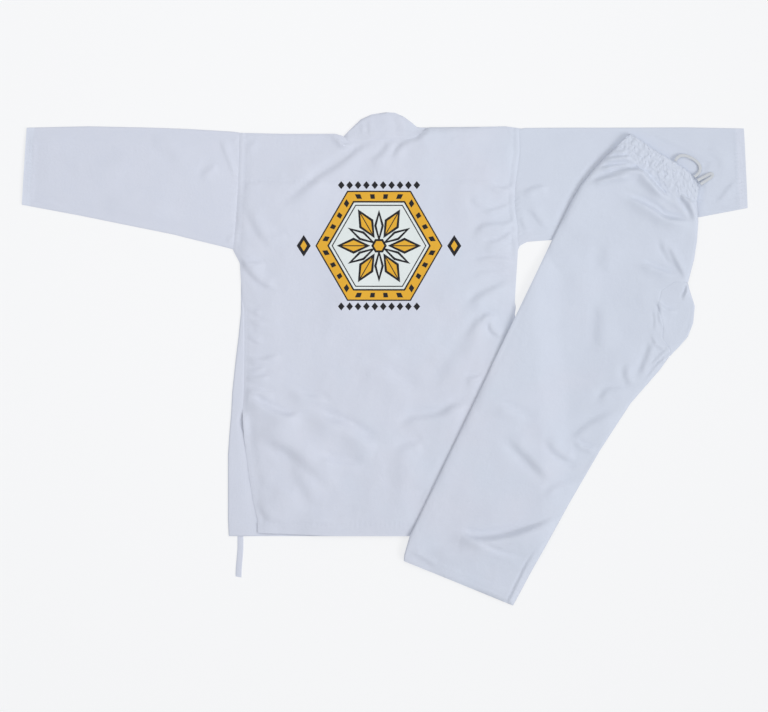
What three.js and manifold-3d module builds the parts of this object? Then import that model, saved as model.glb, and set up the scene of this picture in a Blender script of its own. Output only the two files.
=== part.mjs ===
// A martial arts uniform laid out flat: a jacket lying face down, with its trousers folded in half lengthwise over it.
// Millimetres. +X runs along the sleeves, +Y to the collar and +Z up from the surface it lies on.
import * as THREE from "three";
import { mergeVertices } from "three/addons/utils/BufferGeometryUtils.js";
import Module from "manifold-3d";

const wasm = await Module();
wasm.setup();

// Driving sizes
const CLOTH = 1.2;
const SEAM = 0.3;
const BAND_CLOTH = 2;
const COLLAR_CLOTH = 2.6;
const LAPEL_WIDTH = 45;
const CUFF_HEM = 20;
const WAISTBAND_THICK = 16;
const GATHERS = 12;
const TIE_WIDTH = 11;
const CORD_RADIUS = 2;
// How thick two flat layers are together, round the fold that joins them
const FOLD_THICK = 3;
// How far the cloth stands off what it lies on, beside its folds
const SLEEVE_PUFF = 1.6;
const BACK_LOOSE = 1.2;
const HEM_RISE = 0.8;
const FLAT_RISE = 0.4;
const GATHER_RISE = 1.3;
const LEG_CLEAR = 0.6;
// What the back's lower face clears: its own side seams, the crossed fronts with their bands, and the bands at the neck
const SIDE_LIFT = 0.7;
const FRONTS_LIFT = 2.5;
const NECK_LIFT = 1.6;
// The folded trousers' hidden layers, along the legs and how much more at the waist
const LEG_STACK = 4.4;
const WAIST_STACK = 7.5;
const BODY_CENTRE = -12.5;
const HEM_Y = -327;
const SLIT_TOP = -98;
const SIDE_FOLD_TOP = 100;

// The body's wearer's-left edge as it lies: y, x of the outline, x of the back's own edge
const SIDE = [
  [-329, -288.5, -235],
  [-297, -290, -235.5],
  [-264, -290, -243],
  [-222, -290, -250],
  [-177, -290, -256],
  [-147, -288, -260],
  [-98, -284, -263],
  [-60, -282, -261],
  [-4, -276, -260],
  [41, -270.5, -260],
  [86, -266, -260.5],
  [145, -266, -266],
  [177, -268, -268],
  [200, -280, -280],
  [232, -277, -277],
  [320, -271, -271],
  [420, -268, -268],
];
// The body's other edge above the trousers, which hide the rest: y, x of the outline
const ARMHOLE_RIGHT = [
  [83, 240],
  [115, 241],
  [165, 244],
  [196, 246],
  [247, 245],
  [281, 240],
  [320, 241],
  [380, 249],
  [427, 248],
];
// The back's upper edge, along the shoulders and the neck seam: x, y
const SHOULDER = [
  [-270, 418],
  [-186, 416],
  [-90, 416],
  [-79, 413],
  [-74, 404],
  [-48, 400],
  [-21, 405],
  [60, 407],
  [68, 427],
  [177, 429],
  [220, 430],
  [248, 426],
];
// The back's hem: x, y
const BACK_HEM = [
  [-235, -322],
  [-133, -326],
  [-88, -327.6],
  [238, -327.6],
];
// The collar's outer edge: x, y
const COLLAR_EDGE = [
  [-75, 412],
  [-64, 425],
  [-44, 443],
  [-24, 452],
  [3, 456],
  [19, 455],
  [35, 448],
  [50, 437],
  [62, 424],
  [66, 415],
];
// A sleeve's two edges from the cuff to the armhole: x, y
const SLEEVE_LEFT_TOP = [
  [-662, 427.5],
  [-548, 430],
  [-430, 427.5],
  [-362, 425],
  [-281, 420],
  [-268.6, 418],
];
const SLEEVE_LEFT_LOW = [
  [-671, 285],
  [-564, 265],
  [-490, 250],
  [-391, 230],
  [-300, 207],
  [-280.6, 202],
];
const SLEEVE_RIGHT_TOP = [
  [664, 426],
  [560, 428],
  [420, 427.5],
  [330, 427.5],
  [262, 427],
  [248.6, 425],
];
const SLEEVE_RIGHT_LOW = [
  [671, 279],
  [582, 262],
  [490, 246],
  [391, 229],
  [290, 215],
  [246.8, 203],
];

// The trousers' own frame: u across from the outer edge, v down the leg from the waist
const LEG_ORIGIN = [413.5, 436.6];
const LEG_TURN = THREE.MathUtils.degToRad(25.7);
// The leg's outline: v, u of the outer edge, u of the leg panel's inner edge, u of the outline
const LEG = [
  [0, 47, 190, 190],
  [35, 32, 203, 203],
  [61, 22, 210, 210],
  [93, 12, 228, 228],
  [127, 4, 242, 242],
  [158, 1, 252, 252],
  [203, 0, 261, 261],
  [214, 0, 236, 270],
  [236, 0, 222, 291],
  [266, 0, 228, 302],
  [293, 0, 253, 304],
  [315, 0, 262, 298],
  [329, 0, 285, 293],
  [340, 0, 289, 290],
  [370, 0, 284, 284],
  [450, 0, 262, 262],
  [550, 0, 249, 249],
  [666, 0, 240, 240],
  [793, 0, 232, 232],
  [848, 0, 230, 230],
  [883, 6, 228, 228],
  [896, 11, 228, 228],
];
// The waist's upper edge and the casing's lower edge: u, v of the upper one, v of the lower one
const WAIST = [
  [40, 8, 40],
  [47, 1, 38],
  [86, 7, 50],
  [111, 11, 50],
  [128, 12, 60],
  [155, 14, 73],
  [180, 21, 66],
  [203, 35, 66],
];
// The hem: u, v
const LEG_HEM = [
  [11, 894],
  [228, 881],
];
// Rows of the leg down v, close together at the gathers and the gusset
const LEG_ROWS = [
  ...[40, 60, 80, 102, 127, 155, 182, 203, 214, 225, 236, 251, 266, 280, 293, 304, 315, 329],
  ...[342, 370, 400, 432, 465, 500, 535, 570, 605, 640, 675, 710, 745, 780, 815, 848, 875, 894],
];
const GUSSET_FROM = 214;
const GUSSET_TO = 329;

// The largest folds: x and y of the start, the middle and the end, half width, height
const BODY_FOLDS = [
  [161, 231, 190, 254, 241, 266, 13, 4],
  [152, 100, 184, 122, 235, 151, 14, 4.5],
  [174, 72, 140, 10, 93, -52, 16, 4],
  [20, -128, 80, -98, 156, -82, 18, 6.5],
  [-133, -95, -75, -115, -12, -154, 20, 6],
  [-234, -143, -150, -172, -88, -241, 18, 5],
  [-122, -178, -85, -190, -40, -196, 14, 4],
  [-246, -71, -205, -95, -157, -100, 15, 4],
  [25, -165, 30, -200, 25, -240, 20, 4],
  [-48, -8, 0, -22, 62, -63, 18, 3],
  [-20, 400, -90, 355, -183, 286, 20, 4],
  [-253, 281, -238, 242, -207, 207, 14, 3],
  [-234, -268, -209, -287, -183, -300, 14, 3],
];
const SLEEVE_LEFT_FOLDS = [
  [-305, 405, -300, 380, -286, 345, 12, 2.5],
  [-310, 364, -325, 345, -345, 318, 12, 2.5],
  [-655, 300, -620, 298, -575, 290, 12, 2],
];
const SLEEVE_RIGHT_FOLDS = [
  [256, 307, 280, 320, 306, 333, 12, 2.5],
  [600, 290, 630, 305, 648, 333, 12, 2],
];
const LEG_FOLDS = [
  [398, 303, 480, 345, 570, 250, 15, 8],
  [520, 235, 540, 190, 561, 146, 12, 5],
  [304, -154, 340, -190, 391, -167, 14, 4],
  [139, -322, 220, -340, 315, -291, 18, 5.5],
  [237, -160, 269, -182, 298, -215, 14, 3.5],
  [475, 65, 500, 10, 480, -40, 14, 3],
  [372, -110, 380, -75, 425, -58, 14, 3],
];

// Drawstring routes, out of the casing and over the sleeve beside it: x, y, z
const DRAWSTRING = [
  [536.4, 364.7, 9],
  [539, 370, 8.4],
  [546, 375, 6.8],
  [556, 375, 6],
  [567, 370.5, 6],
  [577, 363.5, 6],
  [582.5, 354.5, 6],
  [581, 345, 6.2],
  [575.5, 339, 7.4],
  [571.6, 335.9, 8.6],
];
const DRAWSTRING_END = [
  [577.6, 329.6, 8.8],
  [583, 332.5, 7.6],
  [592, 337.5, 6.4],
  [600.5, 342, 6.2],
  [605, 341, 6.2],
  [604, 336.5, 6.2],
  [595.5, 330.5, 6.4],
  [588, 325.5, 7.4],
  [582.8, 322.2, 8.6],
];

const { lerp, clamp, smoothstep } = THREE.MathUtils;

// The value of a column of a table at a place along its first column
function along(table, at, column = 1) {
  const last = table.length - 1;
  const rising = table[last][0] > table[0][0];
  let k = 0;
  while (k < last - 1 && (rising ? at > table[k + 1][0] : at < table[k + 1][0])) k++;
  const part = clamp((at - table[k][0]) / (table[k + 1][0] - table[k][0]), 0, 1);
  return lerp(table[k][column], table[k + 1][column], part);
}

// Even steps from 0 to 1
function steps(count) {
  return Array.from({ length: count + 1 }, (_, k) => k / count);
}

// Folds as soft ridges along short curves
function foldSet(table) {
  const curves = table.map(([x0, y0, x1, y1, x2, y2, width, height]) => {
    const start = new THREE.Vector2(x0, y0);
    const middle = new THREE.Vector2(x1, y1);
    const end = new THREE.Vector2(x2, y2);
    const points = new THREE.SplineCurve([start, middle, end]).getPoints(14);
    return { points, width, height };
  });
  return (x, y) => {
    let rise = 0;
    for (const { points, width, height } of curves) {
      let nearest = Infinity;
      let taper = 0;
      points.forEach((p, k) => {
        const distance = Math.hypot(p.x - x, p.y - y);
        if (distance < nearest) {
          nearest = distance;
          taper = Math.sin(Math.PI * lerp(0.12, 0.88, k / (points.length - 1)));
        }
      });
      rise += height * taper * Math.exp(-((nearest / width) ** 2));
    }
    return rise;
  };
}

const bodyFolds = foldSet(BODY_FOLDS);
const sleeveFolds = { left: foldSet(SLEEVE_LEFT_FOLDS), right: foldSet(SLEEVE_RIGHT_FOLDS) };
const legFolds = foldSet(LEG_FOLDS);

// Trouser frame
const legAcross = new THREE.Vector2(Math.cos(LEG_TURN), -Math.sin(LEG_TURN));
const legDown = new THREE.Vector2(-Math.sin(LEG_TURN), -Math.cos(LEG_TURN));

function fromLeg(u, v) {
  return [
    LEG_ORIGIN[0] + u * legAcross.x + v * legDown.x,
    LEG_ORIGIN[1] + u * legAcross.y + v * legDown.y,
  ];
}

function toLeg(x, y) {
  const away = new THREE.Vector2(x - LEG_ORIGIN[0], y - LEG_ORIGIN[1]);
  return [away.dot(legAcross), away.dot(legDown)];
}

// 1 where the trousers lie or nearly so, 0 well clear of them
function pressed(x, y) {
  const [u, v] = toLeg(x, y);
  const inside = Math.min(u - along(LEG, v, 1), along(LEG, v, 3) - u, v + 5, 905 - v);
  return smoothstep(inside, -45, -18);
}

// Body outlines on either side
function leftOutline(y) {
  return along(SIDE, y, 1);
}

function rightOutline(y) {
  const mirrored = 2 * BODY_CENTRE - along(SIDE, y, 1);
  return lerp(mirrored, along(ARMHOLE_RIGHT, y), smoothstep(y, 60, 100));
}

function leftBackEdge(y) {
  return along(SIDE, y, 2);
}

function rightBackEdge(y) {
  const mirrored = 2 * BODY_CENTRE - along(SIDE, y, 2);
  return lerp(mirrored, along(ARMHOLE_RIGHT, y), smoothstep(y, 60, 100));
}

// Where a sleeve's end lies along the armhole seam
function leftArmhole(y) {
  return along(SIDE, y, 2) - 2 * SEAM;
}

function rightArmhole(y) {
  return along(ARMHOLE_RIGHT, y) + 3 * SEAM;
}

// A closed cloth wall between two grids of points, open at its sides or closed all round
function wall(outer, inner, allRound = false) {
  const across = outer.length;
  const down = outer[0].length;
  const positions = [...outer.flat(), ...inner.flat()].flat();
  const index = [];
  const at = (i, j, layer) => layer * across * down + (i % across) * down + j;
  const face = (a, b, c, d) => index.push(a, b, c, a, c, d);
  const spans = allRound ? across : across - 1;
  for (let i = 0; i < spans; i++) {
    for (let j = 0; j < down - 1; j++) {
      face(at(i, j, 0), at(i + 1, j, 0), at(i + 1, j + 1, 0), at(i, j + 1, 0));
      face(at(i, j, 1), at(i, j + 1, 1), at(i + 1, j + 1, 1), at(i + 1, j, 1));
    }
    face(at(i, 0, 0), at(i, 0, 1), at(i + 1, 0, 1), at(i + 1, 0, 0));
    const j = down - 1;
    face(at(i, j, 0), at(i + 1, j, 0), at(i + 1, j, 1), at(i, j, 1));
  }
  if (!allRound) {
    const i = across - 1;
    for (let j = 0; j < down - 1; j++) {
      face(at(0, j, 0), at(0, j + 1, 0), at(0, j + 1, 1), at(0, j, 1));
      face(at(i, j, 0), at(i, j, 1), at(i, j + 1, 1), at(i, j + 1, 0));
    }
  }
  return outward(positions, index);
}

// A solid through closed sections, with a fan at each end
function loft(sections) {
  const round = sections[0].length;
  const last = sections.length - 1;
  const centre = (ring) => [0, 1, 2].map((k) => ring.reduce((sum, p) => sum + p[k], 0) / round);
  const positions = [...sections.flat(), centre(sections[0]), centre(sections[last])].flat();
  const index = [];
  const at = (s, k) => s * round + (k % round);
  const ends = (last + 1) * round;
  for (let k = 0; k < round; k++) {
    for (let s = 0; s < last; s++) {
      index.push(at(s, k), at(s, k + 1), at(s + 1, k + 1), at(s, k), at(s + 1, k + 1), at(s + 1, k));
    }
    index.push(ends, at(0, k + 1), at(0, k), ends + 1, at(last, k), at(last, k + 1));
  }
  return outward(positions, index);
}

// Faces turned so that the body's volume is positive
function outward(positions, index) {
  const corner = (k) => new THREE.Vector3().fromArray(positions, 3 * index[k]);
  let volume = 0;
  for (let k = 0; k < index.length; k += 3) {
    volume += corner(k).dot(corner(k + 1).cross(corner(k + 2)));
  }
  if (volume < 0) index.reverse();
  const geometry = new THREE.BufferGeometry();
  geometry.setAttribute("position", new THREE.Float32BufferAttribute(positions, 3));
  geometry.setIndex(index);
  return geometry;
}

function solid(geometry) {
  const merged = mergeVertices(geometry, 1e-4);
  const vertProperties = merged.attributes.position.array;
  const triVerts = new Uint32Array(merged.index.array);
  return new wasm.Manifold(new wasm.Mesh({ numProp: 3, vertProperties, triVerts }));
}

// One geometry from pieces that overlap
function joined(...geometries) {
  const whole = geometries.map(solid).reduce((a, b) => a.add(b));
  const { vertProperties, triVerts } = whole.getMesh();
  const geometry = new THREE.BufferGeometry();
  geometry.setAttribute("position", new THREE.BufferAttribute(vertProperties, 3));
  geometry.setIndex(new THREE.BufferAttribute(triVerts, 1));
  return geometry;
}

// A cloth panel: place gives x and y for its two shares, under the height of its lower face
function panel(acrossShares, downShares, place, under, thick = CLOTH) {
  const grid = (lift) =>
    acrossShares.map((s) =>
      downShares.map((t) => {
        const [x, y] = place(s, t);
        return [x, y, under(x, y, s, t) + lift];
      }),
    );
  return wall(grid(thick), grid(0));
}

// Jacket

// A front's band runs from the side of the neck to the middle of the other side of the hem
function bandEdge(y, side) {
  const slant = smoothstep(y, 20, 415);
  const atNeck = side > 0 ? -18 : -36;
  return BODY_CENTRE + side * lerp(112, atNeck, slant);
}

function bandSeam(y, side) {
  return bandEdge(y, side) - side * LAPEL_WIDTH;
}

// Rows up the fronts above their hem, to where the bands end
const FRONT_ROWS = [-303, -270, -222, -177, -140, SLIT_TOP, -50, 0, 50, SIDE_FOLD_TOP, 145, 190, 235, 280, 325, 365, 398];
const FRONT_TOP = 414;

// A panel whose own rows are at given heights: place gives x for a share across. A row at the top follows the shoulder.
function rowPanel(columns, rows, place, under, thick) {
  const shares = rows.map((_, k) => k / (rows.length - 1));
  const rowAt = (t) => rows[Math.round(t * (rows.length - 1))];
  const point = (s, t) => {
    const y = rowAt(t);
    const x = place(s, y);
    return [x, y === FRONT_TOP ? along(SHOULDER, x) - 1 : y];
  };
  return panel(steps(columns), shares, point, under, thick);
}

// The side of a front is the seam's fold where there is one
function foldInset(y) {
  return y > SLIT_TOP && y < SIDE_FOLD_TOP ? 2.5 : 0.2;
}

// The front that lies on the surface, and the fold at its side that carries the side seam
function frontLeft() {
  const place = (s, y) => lerp(leftOutline(y) + foldInset(y), bandSeam(y, 1) - SEAM, s);
  const plate = rowPanel(8, [HEM_Y - 1, ...FRONT_ROWS, FRONT_TOP], place, () => 0);
  return joined(plate, sideFold(leftOutline, leftBackEdge, 1));
}

// The half round along the side, up to the seam with the back
function sideFold(outline, backEdge, inward) {
  // away from the outline, height outside, away inside, height inside
  const path = [
    [3.5, 0, 3.5, CLOTH],
    [0.9, 0.3, 2, 1.35],
    [0, 1.5, 1.2, 1.5],
    [0.9, 2.7, 2, 1.65],
    [3.2, FOLD_THICK, 3.2, FOLD_THICK - CLOTH],
  ];
  const rows = steps(8).map((t) => lerp(SLIT_TOP + 3, SIDE_FOLD_TOP - 3, t));
  const row = (k, away, height) => rows.map((y) => [outline(y) + inward * path[k][away], y, path[k][height]]);
  const seam = (height) => rows.map((y) => [backEdge(y) - inward * SEAM, y, height]);
  const outer = path.map((_, k) => row(k, 0, 1));
  const inner = path.map((_, k) => row(k, 2, 3));
  return wall([...outer, seam(FOLD_THICK)], [...inner, seam(FOLD_THICK - CLOTH)]);
}

// How high the front below lifts the one above it
function bandLift(x, y) {
  return (BAND_CLOTH + SEAM) * (1 - smoothstep(x - bandEdge(y, 1), 42, 75));
}

function frontRight() {
  const place = (s, y) => lerp(bandSeam(y, -1) + SEAM, rightOutline(y) - foldInset(y), s);
  const plate = rowPanel(14, [HEM_Y + 4, ...FRONT_ROWS, FRONT_TOP], place, bandLift);
  return joined(plate, sideFold(rightOutline, rightBackEdge, -1));
}

function lapel(side) {
  const place = (s, y) => lerp(bandSeam(y, side), bandEdge(y, side), s);
  const under = side > 0 ? () => 0 : bandLift;
  return rowPanel(3, [side > 0 ? HEM_Y - 1 : HEM_Y + 4, ...FRONT_ROWS], place, under, BAND_CLOTH);
}

// The lower face of the back, over the fronts and their bands
function backUnder(x, y) {
  const fromSide = Math.min(x - leftBackEdge(y), rightBackEdge(y) - x);
  const fromTop = along(SHOULDER, x) - y;
  const inside = smoothstep(fromSide, 2, 65) * smoothstep(fromTop, 0, 70);
  const overNeck = (1 - inside) * (1 - smoothstep(Math.abs(x + 5), 75, 115));
  return FOLD_THICK - CLOTH + SIDE_LIFT * smoothstep(fromSide, 0, 14) + FRONTS_LIFT * inside + NECK_LIFT * overNeck;
}

function backRelief(x, y) {
  const fromSide = Math.min(x - leftBackEdge(y), rightBackEdge(y) - x);
  const loose = smoothstep(fromSide, 0, 30) * (1 - pressed(x, y));
  return loose * (BACK_LOOSE + bodyFolds(x, y));
}

function back() {
  const neckShares = [-79, -74, 60, 68].map((x) => (x + 268) / 516);
  const acrossShares = [...steps(20), ...neckShares].sort((a, b) => a - b);
  const place = (s, t) => {
    const high = along(SHOULDER, lerp(-268, 248, s));
    const low = along(BACK_HEM, lerp(-235, 210, s));
    const y = lerp(low, high, t);
    return [lerp(leftBackEdge(y), rightBackEdge(y), s), y];
  };
  return panel(acrossShares, steps(27), place, (x, y) => backUnder(x, y) + backRelief(x, y));
}

// The band round the back of the neck, standing up from the neck seam
function collar() {
  const place = (s, t) => {
    const x = lerp(-73, 59, s);
    const edge = lerp(-75, 66, s);
    return [lerp(x, edge, t), lerp(along(SHOULDER, x) + SEAM, along(COLLAR_EDGE, edge), t)];
  };
  const under = (x, y, s, t) => 2.4 * (1 - smoothstep(t, 0.3, 1)) * Math.sin(Math.PI * lerp(0.15, 0.85, s));
  return panel(steps(16), [0, 0.15, 0.45, 0.8, 1], place, under, COLLAR_CLOTH);
}

// A flat hollow tube between a sleeve's two edges, its end following the armhole
function sleeve(top, low, folds, armhole) {
  const nose = FOLD_THICK / 2;
  const inside = nose - CLOTH;
  const length = Math.abs(top[top.length - 1][0] - top[0][0]);
  const stations = [0, CUFF_HEM - 1, CUFF_HEM + 1, 50, 90, 135, 180, 225, 265, 300, 330, 355, 376, length - 1, length];
  const rings = stations.map((station) => {
    const share = station / length;
    const topX = lerp(top[0][0], top[top.length - 1][0], share);
    const lowX = lerp(low[0][0], low[low.length - 1][0], share);
    const high = new THREE.Vector2(topX, along(top, topX));
    const base = new THREE.Vector2(lowX, along(low, lowX));
    const wide = high.distanceTo(base);
    const point = (away, z) => {
      const p = base.clone().lerp(high, away / wide);
      const end = lerp(low[low.length - 1][0], top[top.length - 1][0], away / wide);
      const toArmhole = armhole(p.y) - end;
      return [p.x + toArmhole * smoothstep(share, 0.8, 1), p.y, z];
    };
    const hem = station < CUFF_HEM ? HEM_RISE : 0;
    const upper = (away, lower) => {
      const [x, y] = point(away, 0);
      const ends = smoothstep(share, 0, 0.12) * (1 - smoothstep(share, 0.86, 1));
      const inset = smoothstep(Math.min(away, wide - away), 3, 40);
      const puff = SLEEVE_PUFF * Math.sin((Math.PI * away) / wide);
      const loose = (puff + folds(x, y)) * (1 - pressed(x, y));
      return point(away, FOLD_THICK - lower + inset * (hem + FLAT_RISE + ends * loose));
    };
    const spread = steps(11).map((t) => lerp(nose, wide - nose, t));
    const floor = steps(4).map((t) => lerp(wide - nose, nose, t));
    const arc = (centre, from, radius) =>
      [0.25, 0.5, 0.75].map((t) => {
        const turn = from + Math.PI * t;
        return point(centre + radius * Math.sin(turn), nose + radius * Math.cos(turn) * -1);
      });
    const ring = (radius, lower, floorZ) => [
      ...floor.map((away) => point(away, floorZ)),
      ...arc(nose, Math.PI, radius).reverse(),
      ...spread.map((away) => upper(away, lower)),
      ...arc(wide - nose, 0, radius).reverse(),
    ];
    return { outer: ring(nose, 0, 0), inner: ring(inside, CLOTH, CLOTH) };
  });
  const turned = (key) => rings[0][key].map((_, k) => rings.map((ring) => ring[key][k]));
  return wall(turned("outer"), turned("inner"), true);
}

// The narrow tie that comes out from under the front's hem
function tie() {
  const middle = (y) => lerp(-270.5, -267, smoothstep(y, -400, -345));
  const place = (s, t) => {
    const y = lerp(-404, HEM_Y - 1 - SEAM, t);
    return [middle(y) + lerp(-TIE_WIDTH / 2, TIE_WIDTH / 2, s), y + lerp(1.5, -0.5, s) * (1 - t)];
  };
  return panel(steps(2), steps(6), place, () => 0);
}

// Trousers

// The height that the trousers' lower face lies at: on the back, on the sleeve, or on the surface beside them
function support(x, y) {
  const flatBack = FOLD_THICK + SIDE_LIFT + FRONTS_LIFT + SEAM;
  const flatSleeve = FOLD_THICK + FLAT_RISE + SEAM;
  const besideBody = x - Math.max(rightOutline(y), 246);
  const onBody = flatBack * (1 - smoothstep(besideBody, 22, 85));
  const belowSleeve = along([...SLEEVE_RIGHT_LOW].reverse(), x) - y;
  const onSleeve = flatSleeve * (1 - smoothstep(belowSleeve, 22, 70));
  const belowHem = HEM_Y - y;
  const aboveHem = 1 - smoothstep(belowHem, 22, 85);
  return Math.max(onBody * aboveHem, onSleeve);
}

// The hidden layers' height: thickest at the gathered waist
function hiddenThick(v) {
  return LEG_STACK + WAIST_STACK * (1 - smoothstep(v, 60, 230));
}

// How a folded stack rounds down beside its edges
function roundedEdge(away, drop) {
  return -drop * (1 - smoothstep(away, 0, 16));
}

function hemLine(u) {
  return along(LEG_HEM, u);
}

function waistLow(u) {
  return along(WAIST, u, 2);
}

function hiddenTop(x, y) {
  const [u, v] = toLeg(x, y);
  const away = Math.min(u - along(LEG, v, 1), along(LEG, v, 3) - u, hemLine(u) - v);
  return support(x, y) + hiddenThick(v) + roundedEdge(away, 0.7);
}

// A row of the leg at a share across, bent to the casing at one end and to the hem at the other
function legPoint(row, s, outer, inner) {
  const from = LEG_ROWS[0];
  const to = LEG_ROWS[LEG_ROWS.length - 1];
  const reach = 90;
  const rough = lerp(outer(row), inner(row), s);
  const toCasing = (waistLow(rough) + SEAM - from) * Math.max(0, 1 - (row - from) / reach);
  const toHem = (hemLine(rough) - to) * Math.max(0, 1 - (to - row) / reach);
  const v = row + toCasing + toHem;
  return [lerp(outer(v), inner(v), s), v];
}

// The layers below the leg that shows, as one rounded solid with a groove between the layers at each edge
function legLeft() {
  const edgeInset = 1.5;
  const hemInset = 3;
  const casingInset = 16;
  // round each edge: share of the stack's height, how far in
  const edge = [
    [0.06, 0.8],
    [0.25, 0],
    [0.5, 1.8],
    [0.78, 0],
    [0.95, 0.8],
  ];
  const outer = (v) => along(LEG, v, 1) + edgeInset;
  const inner = (v) => along(LEG, v, 3) - edgeInset;
  const sections = LEG_ROWS.map((row) => {
    const at = (s, inward = 0) => {
      const [u, v] = legPoint(row, s, outer, inner);
      const endInset = { [LEG_ROWS[0]]: casingInset, [LEG_ROWS[LEG_ROWS.length - 1]]: -hemInset }[row] ?? 0;
      return fromLeg(u + inward, v + endInset);
    };
    const low = ([x, y]) => [x, y, support(x, y)];
    const high = ([x, y]) => [x, y, hiddenTop(x, y)];
    const side = (s, inward) =>
      edge.map(([height, inset]) => {
        const [x, y] = at(s, inward * inset);
        return [x, y, lerp(support(x, y), hiddenTop(x, y), height)];
      });
    const between = steps(GATHERS).slice(1, -1);
    const floor = steps(8).slice(1, -1).reverse();
    return [
      low(at(1, -3)),
      ...floor.map((s) => low(at(s))),
      low(at(0, 3)),
      ...side(0, 1),
      high(at(0, 3)),
      ...between.map((s) => high(at(s))),
      high(at(1, -3)),
      ...side(1, -1).reverse(),
    ];
  });
  return loft(sections);
}

// The gathers below the casing, one ridge and one valley each
function gatherWave(s) {
  return Math.cos(2 * Math.PI * GATHERS * s);
}

function legUnder(x, y, s) {
  const [u, v] = toLeg(x, y);
  const wave = GATHER_RISE * (1 + gatherWave(s)) * (1 - smoothstep(v, 75, 175));
  const away = Math.min(u - along(LEG, v, 1), along(LEG, v, 3) - u, hemLine(u) - v);
  const folds = legFolds(x, y) * smoothstep(away, 0, 22) * smoothstep(v, 70, 110);
  return hiddenTop(x, y) + SEAM + LEG_CLEAR + wave + folds;
}

// The leg that shows, from the casing to the hem
function legRight() {
  const outer = (v) => along(LEG, v, 1);
  const inner = (v) => along(LEG, v, 2);
  const shares = LEG_ROWS.map((_, k) => k / (LEG_ROWS.length - 1));
  const place = (s, t) => fromLeg(...legPoint(LEG_ROWS[Math.round(t * (LEG_ROWS.length - 1))], s, outer, inner));
  return panel(steps(2 * GATHERS), shares, place, legUnder);
}

// The gusset in the crotch, beside the leg's edge
function gusset() {
  const rows = LEG_ROWS.filter((v) => v >= GUSSET_FROM && v <= GUSSET_TO);
  const shares = rows.map((_, k) => k / (rows.length - 1));
  const place = (s, t) => {
    const v = rows[Math.round(t * (rows.length - 1))];
    return fromLeg(lerp(along(LEG, v, 2) + 2 * SEAM, along(LEG, v, 3), s), v);
  };
  const under = (x, y, s) => legUnder(x, y, 0) + 0.8 * Math.sin(Math.PI * s);
  return panel(steps(5), shares, place, under);
}

// The gathered casing round the elastic, folded into four layers
function waistband() {
  const sections = steps(2 * GATHERS).map((s) => {
    const u = lerp(41.5, 202, s);
    const wave = gatherWave(s);
    const high = along(WAIST, u, 1) + 0.8 * (1 - wave);
    const low = along(WAIST, u, 2) - SEAM;
    const end = Math.sin(Math.PI * clamp(lerp(0.12, 0.88, s), 0, 1)) ** 0.35;
    const thick = WAISTBAND_THICK * end + 0.9 * wave;
    const at = (v, height) => {
      const [x, y] = fromLeg(u, v);
      return [x, y, support(x, y) + height];
    };
    // four bulges down the upper edge, one for each layer: share of the height, how far in
    const layers = [0, 1, 2, 3].flatMap((k) => [
      [(k + 0.12) / 4, 1.2],
      [(k + 0.5) / 4, 0],
      [(k + 0.88) / 4, 1.2],
    ]);
    return [
      ...[0.96, 0.5, 0.06].map((t) => at(lerp(high, low, t), 0)),
      ...layers.map(([height, inset]) => at(high + inset, thick * height)),
      at(lerp(high, low, 0.1), thick),
      at(lerp(high, low, 0.35), thick + 1),
      at(lerp(high, low, 0.65), thick + 1),
      at(lerp(high, low, 0.9), thick),
      at(low, thick * 0.8),
      at(low, thick * 0.3),
    ];
  });
  return loft(sections);
}

function cord(route) {
  const curve = new THREE.CatmullRomCurve3(route.map((p) => new THREE.Vector3(...p)));
  const section = new THREE.Shape();
  const sides = 8;
  for (let k = 0; k < sides; k++) {
    const turn = (2 * Math.PI * k) / sides;
    const point = [CORD_RADIUS * Math.cos(turn), CORD_RADIUS * Math.sin(turn)];
    if (k === 0) section.moveTo(...point);
    else section.lineTo(...point);
  }
  section.closePath();
  return new THREE.ExtrudeGeometry(section, { steps: 16, extrudePath: curve });
}

// Materials
const cloth = { color: 0xd2d6e4, roughness: 0.9, metalness: 0 };
const cream = { color: 0xd6d5c8, roughness: 0.85, metalness: 0 };

const uniform = new THREE.Group();

function add(name, geometry, look) {
  const mesh = new THREE.Mesh(geometry, new THREE.MeshStandardMaterial(look));
  mesh.name = name;
  uniform.add(mesh);
}

add("jacket_front_left", frontLeft(), cloth);
add("jacket_front_right", frontRight(), cloth);
add("lapel_left", lapel(1), cloth);
add("lapel_right", lapel(-1), cloth);
add("jacket_back", back(), cloth);
add("collar_back", collar(), cloth);
add("sleeve_left", sleeve(SLEEVE_LEFT_TOP, SLEEVE_LEFT_LOW, sleeveFolds.left, leftArmhole), cloth);
add("sleeve_right", sleeve(SLEEVE_RIGHT_TOP, SLEEVE_RIGHT_LOW, sleeveFolds.right, rightArmhole), cloth);
add("jacket_tie", tie(), cloth);
add("trouser_leg_left", legLeft(), cloth);
add("trouser_leg_right", legRight(), cloth);
add("trouser_gusset", gusset(), cloth);
add("waistband", waistband(), cloth);
add("drawstring", cord(DRAWSTRING), cream);
add("drawstring_end", cord(DRAWSTRING_END), cream);

export default uniform;
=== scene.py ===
"""Looks of a martial arts uniform laid out flat: a jacket face down, its trousers folded over one side.

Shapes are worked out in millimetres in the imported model's frame and put into Blender in metres. +X runs
along the sleeves, +Y to the collar and +Z up from the surface. A side is 1 for the wearer's left, where x
is low, and -1 for the right.
"""

import math

import bpy
import numpy as np
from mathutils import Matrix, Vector
from mathutils.bvhtree import BVHTree


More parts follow.
